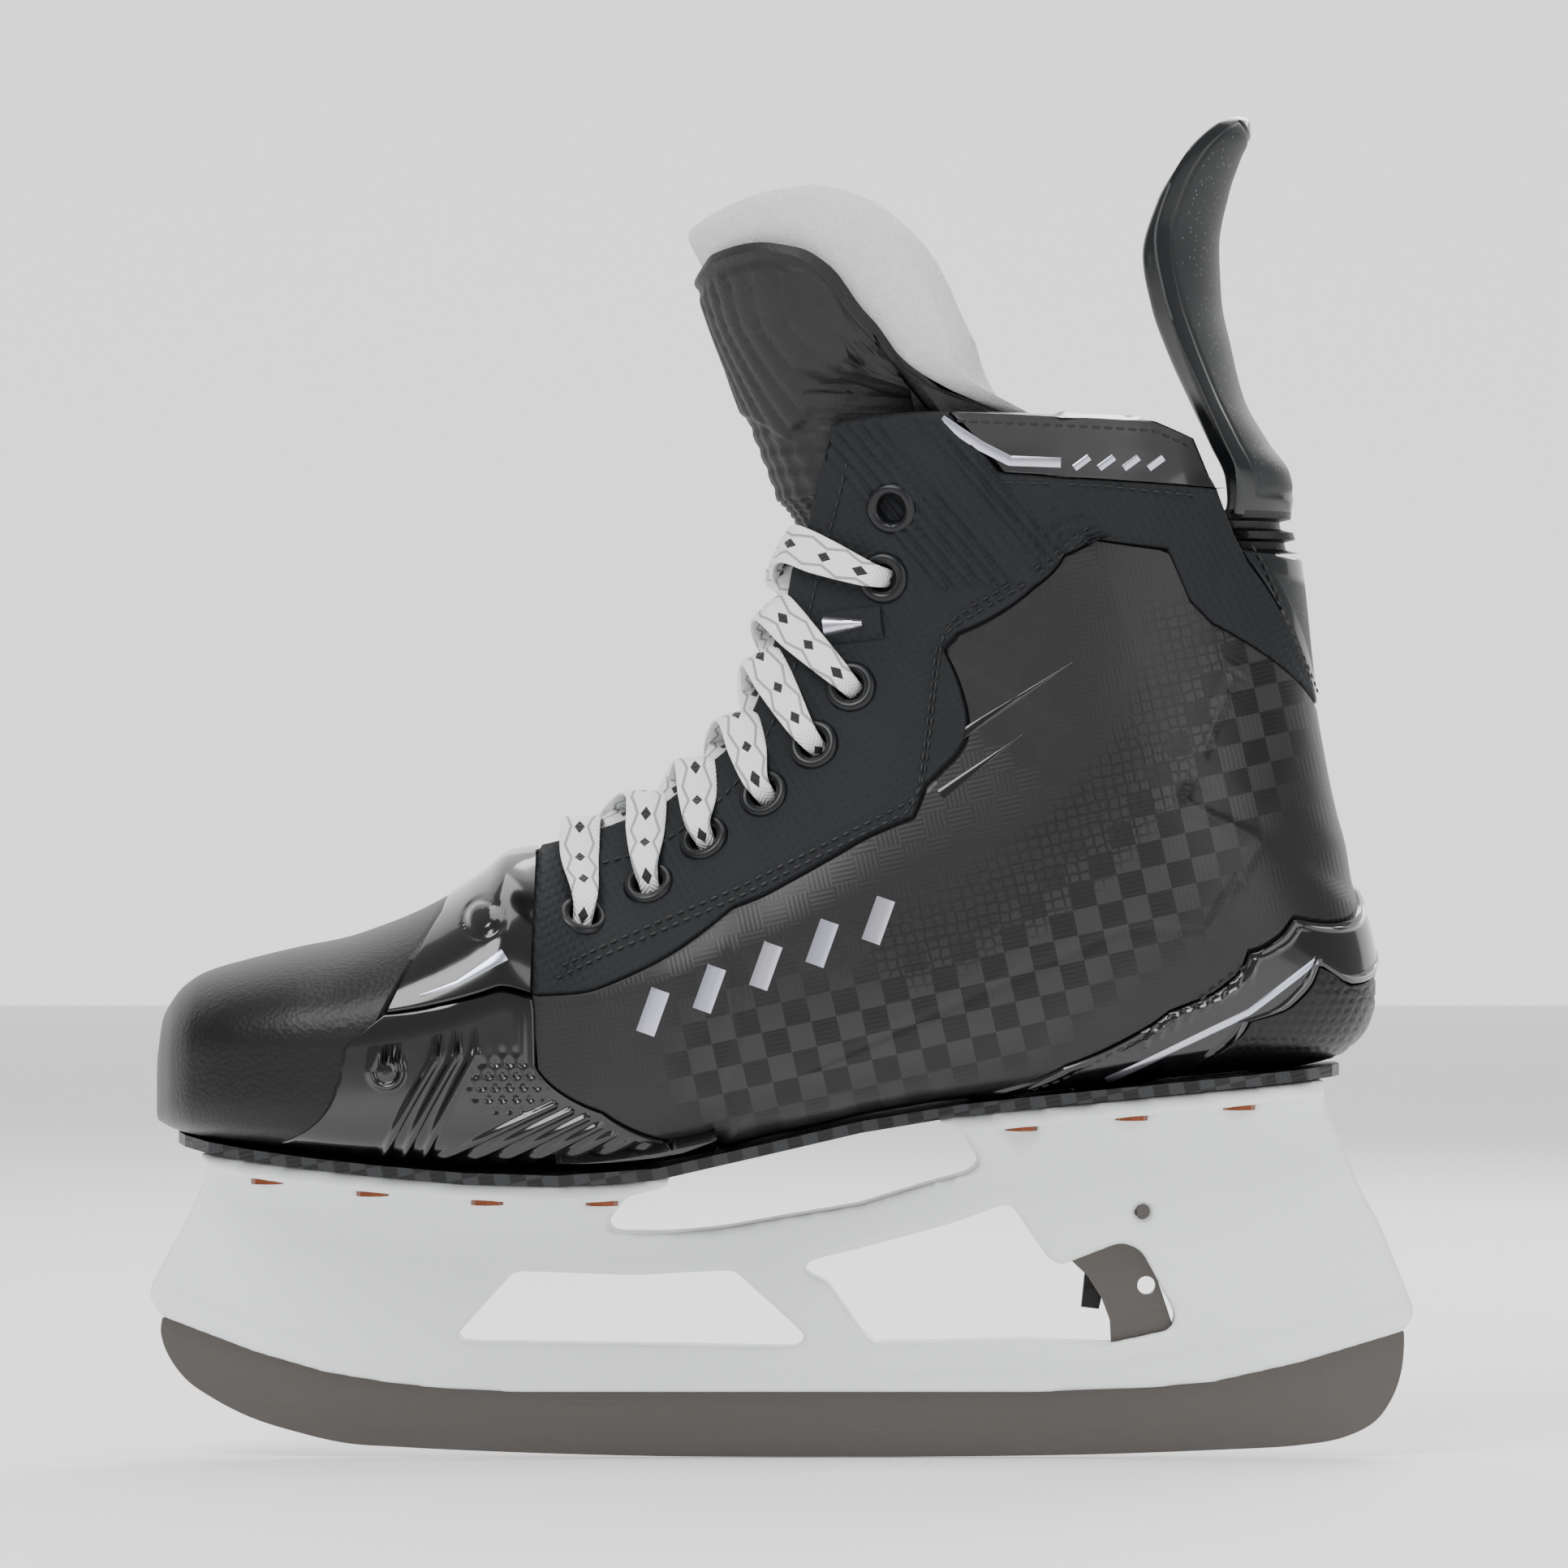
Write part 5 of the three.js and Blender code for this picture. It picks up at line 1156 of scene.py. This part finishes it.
def ribbon(name, line, share, across, sizes):
    """A flat lace along a line: a superellipse section, thicker where gathered, with uv along and across."""
    run = np.gradient(line, axis=0)
    run /= np.linalg.norm(run, axis=1, keepdims=True)
    across = across - run * np.einsum("ij,ij->i", across, run)[:, None]
    across /= np.linalg.norm(across, axis=1, keepdims=True)
    out = np.cross(run, across)
    lap = np.linspace(0, 2 * np.pi, 25)[:-1]
    a = np.sign(np.cos(lap)) * np.abs(np.cos(lap)) ** 0.7
    b = np.sign(np.sin(lap)) * np.abs(np.sin(lap)) ** 0.7
    wide = share[:, None, None] * sizes.lace_width / MM / 2
    thick = (1 + 0.9 * (1 - share))[:, None, None] * sizes.lace_thick / MM / 2
    rings = (line[:, None] + across[:, None] * a[None, :, None] * wide
             + out[:, None] * b[None, :, None] * thick)
    length = np.concatenate([[0], np.cumsum(np.linalg.norm(np.diff(line, axis=0), axis=1))])
    uv = np.stack(np.broadcast_arrays(length[:, None], a * wide[..., 0]), -1) * MM
    return sweep(name, rings, uv)


def calm(values, times):
    """Evens out a run of values with its neighbours."""
    for _ in range(times):
        values = np.concatenate([values[:1], (values[:-2] + 2 * values[1:-1] + values[2:]) / 4, values[-1:]])
    return values


def lace(sizes):
    """Seven pairs of eyelets laced criss-cross, both ends passing in through the seventh."""
    route = strand(MEDIAL, CROSSING)[1:][::-1] + strand(LATERAL, 0)
    count = 1700
    line = centripetal([p for p, _ in route], count)
    share = np.interp(np.linspace(0, len(route) - 1, count), np.arange(len(route)), [w for _, w in route])
    u, d = to_fan(line[:, 0], line[:, 2])
    across = on_fan(u + 1, d, 0 * u) - on_fan(u - 1, d, 0 * u)
    thing = ribbon("lace_laced", line, calm(share, 40), calm(across, 30), sizes)
    dress(coat(thing, flat_braid), "boot", "lace", "lace")


def lace_end(sizes, name, side):
    """A free end: down the inside of the lining, then folded to and fro on the footbed up to its aglet."""
    def at(s, h):
        x, z = HANK_START
        return (x + s * np.cos(HANK_TILT), 8.0, z + s * np.sin(HANK_TILT) + h)

    start = centripetal(TAIL, 260)[:-1]
    points = []
    for k in range(HANK_RUNS):
        h = (HANK_RUNS - 1 - k) * HANK_PITCH
        ends = (2.7, 52.3) if k % 2 == 0 else (52.3, 2.7)
        if k == 0:
            ends = (0, 52.3)
        if k == HANK_RUNS - 1:
            ends = (52.3, 0.4)
        points += [at(s, h) for s in np.linspace(*ends, 60)[:-1]]
        if k < HANK_RUNS - 1:
            way = 1 if k % 2 == 0 else -1
            for angle in np.linspace(0, np.pi, 14)[:-1]:
                points.append(at(ends[1] + way * 1.8 * np.sin(angle), h - 1.8 * (1 - np.cos(angle))))
    points.append(at(0.4, 0))
    line = resample(np.vstack([start, points]) * [1, side, 1], 1100)
    run = np.gradient(line, axis=0)
    flat = np.cross(run, [0, 1, 0])
    flat /= np.maximum(np.linalg.norm(flat, axis=1, keepdims=True), 1e-9)
    t = np.clip((np.arange(1100) / 1100 - 0.09) / 0.08, 0, 1)
    t = (t * t * (3 - 2 * t))[:, None]
    across = flat * (1 - t) + np.array([0, 1.0, 0]) * t
    share = np.clip(0.47 + np.arange(1100) / 44, 0.47, 1)
    thing = ribbon(f"lace_end_{name}", line, share, calm(across, 20), sizes)
    dress(coat(thing, flat_braid), "boot", "lace", f"lace_tail_{name}", f"lace_hank_{name}")


# ---------------------------------------------------------------- metal and plastic
def eyelets(sizes, name, side):
    """Turned rings: each is a rounded profile about its own eyelet's line."""
    profile = np.array([(3.05, -3.4), (3.5, -3.4), (3.55, -0.6), (5.5, -0.5), (5.8, 0.4), (5.6, 1.2),
                        (4.9, 1.75),
                        (4.0, 1.7), (3.35, 1.2), (3.05, 0.5)])
    lap = np.linspace(0, 2 * np.pi, 37)[:-1]
    points = []
    for x, z in EYELETS:
        point, normal = on_boot(x, z, side)
        first = np.cross(normal, [0, 0, 1.0])
        first /= np.linalg.norm(first)
        second = np.cross(normal, first)
        ring = np.cos(lap)[:, None] * first + np.sin(lap)[:, None] * second
        points.append(point + profile[:, 0, None, None] * ring[None] + profile[:, 1, None, None] * normal)
    faces = grid_faces(10, 36, True, True)
    faces = (faces[None] + (np.arange(len(EYELETS)) * 360)[:, None, None]).reshape(-1, 4)
    thing = mesh_object(f"eyelets_{name}", np.array(points), faces, crease=0.9)
    dress(coat(thing, black_enamel), "boot", "black_plastic",
          *[f"eyelet_{name}_{k + 1}" for k in range(len(EYELETS))])


def baked(thing):
    """Makes a piece's modifiers part of its mesh."""
    depsgraph = bpy.context.evaluated_depsgraph_get()
    made = bpy.data.meshes.new_from_object(thing.evaluated_get(depsgraph))
    thing.modifiers.clear()
    thing.data = made
    return thing


HOLDER_CREASE = [(-142, 40), (-125, 33.5), (-108.7, 27.6), (-93, 21.4), (-75.1, 18.6), (15.9, 18.5),
                 (67.1, 20.3),
                 (86.8, 23.2), (110, 28), (142, 36)]


def holder(sizes):
    """The moulded holder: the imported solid's own form with every edge rounded as a die leaves it."""
    thing = bpy.data.objects.new("holder_moulding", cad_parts["holder"].data.copy())
    bpy.context.scene.collection.objects.link(thing)
    grid = thing.modifiers.new("grid", "REMESH")
    grid.mode = "VOXEL"
    grid.voxel_size = 0.00115
    ease = thing.modifiers.new("ease", "SMOOTH")
    ease.factor = 0.5
    ease.iterations = 5
    baked(thing)
    count = len(thing.data.vertices)
    at = np.empty(count * 3, np.float32)
    thing.data.vertices.foreach_get("co", at)
    at = at.reshape(-1, 3)
    crease = smooth(HOLDER_CREASE)(at[:, 0] / MM)
    step = np.clip((crease - at[:, 2] / MM) / 1.2 + 0.5, 0, 1)
    at[:, 1] *= 1 - 0.13 * step * (np.abs(at[:, 1]) > 0.0035)
    thing.data.vertices.foreach_set("co", at.ravel())
    thing.data.polygons.foreach_set("use_smooth", [True] * len(thing.data.polygons))
    dress(coat(thing, white_nylon), "boot", "holder", "holder")


RUNNER_EDGE = [(-139.3, 31.2), (-139.6, 28.1), (-138.2, 23.4), (-134, 17.5), (-127.6, 13), (-119.2, 8.8),
               (-109.8, 5.8), (-98.1, 3.1), (-85.7, 2.2), (-64.7, 1.2), (-30, 0.2), (0, 0), (25, 0),
               (50, 0.2),
               (72, 0.6), (96.7, 1.5), (116.4, 2.6), (126.5, 4.4), (133.4, 7.9), (137.2, 13), (139.3, 18.8),
               (140, 24.7), (140, 28)]
RUNNER_TANG = [(137, 33), (130, 32), (116, 27.5), (97, 23.5), (89.5, 22.5), (87.8, 30), (84.5, 40),
               (79.5, 50),
               (70, 50.5), (65, 47), (65.4, 43.9), (68.9, 40.6), (72, 35.6), (73.8, 30.7), (74.2, 22.5),
               (-75, 22.5), (-100, 26), (-118, 30.5), (-124, 33), (-125, 41), (-133, 42), (-136.5, 36),
               (-136.5, 33)]


def runner(sizes):
    """The steel: a smooth ground edge, a tang and two hooks above it, and a hole in the rear hook."""
    edge = centripetal(RUNNER_EDGE, 260)
    edge[:, 1] = np.maximum(edge[:, 1], 0)
    thing = plate("runner_steel", [*edge.tolist(), *RUNNER_TANG], -1.5, 1.5, 0.2)
    lap = np.linspace(0, 2 * np.pi, 33)[:-1]
    cutter = plate("hook_hole", np.stack([82 + 2 * np.cos(lap), 38.6 + 2 * np.sin(lap)], -1).tolist(), -4, 4,
                   0.01)
    cutter.modifiers.clear()
    bore = thing.modifiers.new("bore", "BOOLEAN")
    bore.object = cutter
    bore.operation = "DIFFERENCE"
    thing.modifiers.move(1, 0)
    baked(thing)
    bpy.data.objects.remove(cutter)
    dress(coat(thing, ground_steel), "runner", "steel", "runner")


# ---------------------------------------------------------------- seams, stripes and patches
# How far the thread stands out of the boot's form, on the facings and on the glossy overlays.
FACING_THREAD, GLOSS_THREAD = 1.05, 1.15


def seam_thread(sizes):
    """Rows of stitching beside every sewn seam, on both sides of the boot."""
    both = (LATERAL, MEDIAL)
    facing_low = [(-50, 108.2), (-10.1, 125.6), (28.6, 145.4), (30.6, 151.5), (34.6, 181.6), (38, 186.2),
                  (55, 196.2), (67.5, 206.4)]
    throat_line = [(-45, 134.2), (-30.5, 138.2), (-18.4, 146.5), (-9, 156.2), (-1.5, 171), (2.5, 184),
                   (6.5, 201),
                   (10.5, 216), (13.5, 228)]
    low = [facing_low, [(x + 1.2, z + 2.6) for x, z in facing_low]]
    inner_line = [(x + 2.2, z - 2.0) for x, z in throat_line]
    collar = [(49, 218), (70, 217.2), (92, 215)]
    base = [(103.5, 204.6), (106.5, 200.4), (119.3, 171.8)]
    thread = stitches("seam_thread", [*low, inner_line, collar, base], both, FACING_THREAD,
                      sizes.stitch / MM)
    dress(coat(thread, bonded_thread), "boot", "facing")
    gloss = [[(48.5, 81.8), (62, 86.9), (85.2, 98.6), (102.7, 111.6)],
             [(38.5, 231.5), (82, 229.3), (90, 226)]]
    more = stitches("overlay_thread", gloss, both, GLOSS_THREAD, sizes.stitch / MM)
    dress(coat(more, bonded_thread), "boot", "gloss_overlay")


def stripe(name, line, sides, width, rise, maker=silver_foil, slot="gloss_overlay", thick=0.2, taper=1.0,
           nodes=()):
    """A thin raised stripe along a side-view line, its width run down to a share of itself at its far end."""
    for label, side in sides.items():
        fine = resample(line, 90)
        narrowing = np.linspace(1, taper, 90)[:, None]
        grid = np.stack([fine + (shifted(fine, off * width / 2) - fine) * narrowing
                         for off in np.linspace(-1, 1, 7)])
        at, _, normal = skin_frames(locate(grid.reshape(-1, 2)), side)
        at, normal = at.reshape(7, 90, 3), normal.reshape(7, 90, 3)
        edge = np.array([0.0, 0.8, 0.97, 1.0, 0.97, 0.8, 0.0])[:, None, None] * thick
        thing = slab(f"{name}_{label}", at + normal * (rise + edge), at + normal * (rise - 0.35))
        dress(coat(thing, maker), "boot", slot, *[f"{node}_{label}" for node in nodes])


STRIPE_CLEAR = 0.06  # keeps a stripe just off the overlay under it


def stripes(sizes):
    """Silver stripes on the overlays, dark slashes on the quarter, and the lace locks."""
    rise = sizes.overlay / MM + STRIPE_CLEAR
    stripe("collar_stripe", [(35.5, 231.8), (44, 226), (50.5, 222.6), (61.5, 222.2)], SIDES, 2.2, rise)
    for k in range(4):
        x = 64.5 + 5.4 * k
        stripe(f"collar_dash_{k}", [(x, 221), (x + 3.2, 223.4)], SIDES, 1.5, rise)
    stripe("heel_stripe", [(72, 86.3), (84, 92), (103.2, 101.2), (118, 112.2)], SIDES, 1.5, rise)
    stripe("bridge_stripe", [(-60.8, 113.6), (-71, 107.4), (-79, 104.6)], SIDES, 2.6, rise, taper=0.15)
    for k, line in enumerate(([(37.8, 160.8), (64.3, 178.2)], [(35.1, 148.9), (53.4, 162.3)])):
        stripe(f"slash_{k}", line, SIDES, 2.2, 0.3, glossy_polyurethane, "quarter", 0.12, 0.1)
    for k in range(5):
        x, z = -30 + 12.4 * k, 96.5 + 5.0 * k
        stripe(f"bar_{k}", [(x, z), (x + 3.4, z + 9.5)], SIDES, 4.2, 0.3, silver_foil, "quarter", 0.12)
    stripe("lock_patch", [(9.8, 185.8), (22.6, 187.2)], SIDES, 7.4, 0.95, woven_facing, "facing", 0.9)
    stripe("lock_tooth", [(9.9, 186.2), (18.6, 187.0)], SIDES, 4.6, 1.8, silver_foil, "steel", 1.1, 0.35,
           ("lace_lock",))


# ---------------------------------------------------------------- stage
CAMERA_PLACE = (0.00055, -1.96, 0.1513)
LENS, SENSOR = 200, 36
FLOOR_HALF, FLOOR_FAR, FLOOR_Z = 6000, 4000, -0.2
WALL_FOOT, WALL_TOP = -10, 6000
FLOOR_GLOW, WALL_GLOW, ROOM_LIGHT = 0.22, 0.9, 0.42
AIM = (0, 0, 0.12)
# Each lamp: its place and size in metres, and its power in watts.
LAMPS = (("key", (-0.7, -1.1, 1.3), 0.9, 24.0), ("fill", (0.9, -1.2, 0.6), 1.0, 7.0),
         ("top", (0.1, 0.2, 1.5), 1.2, 16.0), ("rim", (0.5, 1.1, 0.9), 0.8, 12.0))


def stage():
    """A long lens square to the skate's outer side, on a pale floor under soft light."""
    scene = bpy.context.scene
    camera = bpy.data.objects.new("camera", bpy.data.cameras.new("camera"))
    camera.location = CAMERA_PLACE
    camera.rotation_euler = (np.pi / 2, 0, 0)
    camera.data.lens = LENS
    camera.data.sensor_width = SENSOR
    scene.collection.objects.link(camera)
    scene.camera = camera
    near, far = (-FLOOR_HALF, -FLOOR_HALF), (FLOOR_HALF, FLOOR_FAR)
    floor = mesh_object("floor", [(*near, FLOOR_Z), (far[0], near[1], FLOOR_Z), (*far, FLOOR_Z),
                                  (near[0], far[1], FLOOR_Z)], [(0, 1, 2, 3)])
    paper, _, _ = finish("pale_floor", (0.86, 0.86, 0.86), 0.85, Emission_Color=(1, 1, 1, 1),
                         Emission_Strength=FLOOR_GLOW)
    floor.data.materials.append(paper)
    wall = mesh_object("backdrop", [(near[0], far[1], WALL_FOOT), (*far, WALL_FOOT), (*far, WALL_TOP),
                                    (near[0], far[1], WALL_TOP)], [(0, 1, 2, 3)])
    glow, _, _ = finish("lit_backdrop", (0.9, 0.9, 0.9), 0.9, Emission_Color=(1, 1, 1, 1),
                        Emission_Strength=WALL_GLOW)
    wall.data.materials.append(glow)
    for name, place_at, size, power in LAMPS:
        lamp = bpy.data.objects.new(name, bpy.data.lights.new(name, "AREA"))
        lamp.data.size = size
        lamp.data.energy = power
        lamp.location = place_at
        lamp.rotation_euler = (Vector(AIM) - Vector(place_at)).to_track_quat("-Z", "Y").to_euler()
        scene.collection.objects.link(lamp)
    world = bpy.data.worlds.new("pale_room")
    world.use_nodes = True
    world.node_tree.nodes["Background"].inputs["Color"].default_value = (1.0, 1.0, 1.0, 1)
    world.node_tree.nodes["Background"].inputs["Strength"].default_value = ROOM_LIGHT
    scene.world = world


def carried(names, maker, slot, *more):
    """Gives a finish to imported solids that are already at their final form."""
    for name in names:
        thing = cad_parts[name]
        coat(thing, maker, *more)


# ---------------------------------------------------------------- operators
class SkateOperator:
    """What the skate's operators share."""

    bl_options = {"REGISTER", "UNDO"}

    def execute(self, context):
        """Builds the pieces from the scene's sizes."""
        self.build(context.scene.skate_sizes)
        return {"FINISHED"}


class SKATE_OT_stage(SkateOperator, bpy.types.Operator):
    """Sets up the camera, the floor and the light."""

    bl_idname = "skate.stage"
    bl_label = "Stage"

    def build(self, sizes):
        stage()


class SKATE_OT_lace_ends(SkateOperator, bpy.types.Operator):
    """Hangs both free ends of the lace inside the boot."""

    bl_idname = "skate.lace_ends"
    bl_label = "Lace ends"

    def build(self, sizes):
        carried(["aglet_lateral", "aglet_medial"], glossy_polyurethane, "black_plastic")
        for name, side in SIDES.items():
            lace_end(sizes, name, side)


class SKATE_OT_lace(SkateOperator, bpy.types.Operator):
    """Laces seven pairs of eyelets."""

    bl_idname = "skate.lace"
    bl_label = "Lace"

    def build(self, sizes):
        lace(sizes)


class SKATE_OT_toe(SkateOperator, bpy.types.Operator):
    """Moulds the toe cap, the bridge behind it and both toe guards."""

    bl_idname = "skate.toe"
    bl_label = "Toe"

    def build(self, sizes):
        toe_cap(sizes)
        toe_bridge(sizes)
        for name, side in SIDES.items():
            toe_guard(sizes, name, side)


class SKATE_OT_quarter(SkateOperator, bpy.types.Operator):
    """Moulds the quarter shell."""

    bl_idname = "skate.quarter"
    bl_label = "Quarter"

    def build(self, sizes):
        quarter(sizes)


class SKATE_OT_facings(SkateOperator, bpy.types.Operator):
    """Sews on both facings, with their eyelets, and both edges of the collar."""

    bl_idname = "skate.facings"
    bl_label = "Facings"

    def build(self, sizes):
        for name, side in SIDES.items():
            facing(sizes, name, side)
            comfort_edge(sizes, name, side)
            eyelets(sizes, name, side)


class SKATE_OT_heel(SkateOperator, bpy.types.Operator):
    """Moulds the heel band and cup, and the tendon guard with its base."""

    bl_idname = "skate.heel"
    bl_label = "Heel"

    def build(self, sizes):
        heel_band(sizes)
        heel_cup(sizes)
        guard_base(sizes)
        tendon_guard(sizes)


class SKATE_OT_inside(SkateOperator, bpy.types.Operator):
    """Fits the padded lining and the footbed."""

    bl_idname = "skate.inside"
    bl_label = "Lining"

    def build(self, sizes):
        lining(sizes)
        carried(["footbed"], brushed_lining, "liner")


class SKATE_OT_tongue(SkateOperator, bpy.types.Operator):
    """Makes the tongue's face and felt."""

    bl_idname = "skate.tongue"
    bl_label = "Tongue"

    def build(self, sizes):
        tongue(sizes)


class SKATE_OT_chassis(SkateOperator, bpy.types.Operator):
    """Moulds the holder and grinds the runner, with the rivets, trigger and outsole."""

    bl_idname = "skate.chassis"
    bl_label = "Chassis"

    def build(self, sizes):
        holder(sizes)
        runner(sizes)
        rivets = [f"rivets_{row}_{name}" for row in ("front", "rear") for name in SIDES]
        carried(rivets, copper_rivet, "rivet")
        carried(["trigger_pin", "trigger_spring"], ground_steel, "steel")
        carried(["trigger"], moulded_satin_black, "black_plastic")
        carried(["outsole"], carbon_weave, "outsole", "outsole_carbon", linear("121314"), linear("0c0d0e"),
                linear("2b2c2e"), 0.0034, False)


class SKATE_OT_trim(SkateOperator, bpy.types.Operator):
    """Adds the seams' thread and the silver stripes."""

    bl_idname = "skate.trim"
    bl_label = "Thread and stripes"

    def build(self, sizes):
        seam_thread(sizes)
        stripes(sizes)


OPERATORS = (SKATE_OT_stage, SKATE_OT_lace_ends, SKATE_OT_lace, SKATE_OT_toe, SKATE_OT_quarter,
             SKATE_OT_facings,
             SKATE_OT_heel, SKATE_OT_inside, SKATE_OT_tongue, SKATE_OT_chassis, SKATE_OT_trim)


class SKATE_PT_panel(bpy.types.Panel):
    """The skate's operators, sizes and colours."""

    bl_idname = "SKATE_PT_panel"
    bl_label = "Hockey skate"
    bl_space_type = "VIEW_3D"
    bl_region_type = "UI"
    bl_category = "Skate"

    def draw(self, context):
        for operator in OPERATORS:
            self.layout.operator(operator.bl_idname)
        for group in (context.scene.skate_sizes, context.scene.skate_colours):
            for name in group.__annotations__:
                self.layout.prop(group, name)


CLASSES = (SkateSizes, SkateColours, *OPERATORS, SKATE_PT_panel)


def register():
    """Registers the classes, and gives each scene its sizes and colours."""
    for item in CLASSES:
        bpy.utils.register_class(item)
    bpy.types.Scene.skate_sizes = bpy.props.PointerProperty(type=SkateSizes)
    bpy.types.Scene.skate_colours = bpy.props.PointerProperty(type=SkateColours)


def unregister():
    """Takes away what register adds."""
    del bpy.types.Scene.skate_sizes
    del bpy.types.Scene.skate_colours
    for item in reversed(CLASSES):
        bpy.utils.unregister_class(item)


def main():
    """Runs the operators in order."""
    register()
    for operator in OPERATORS:
        group, name = operator.bl_idname.split(".")
        getattr(getattr(bpy.ops, group), name)()


if __name__ == "__main__":
    main()
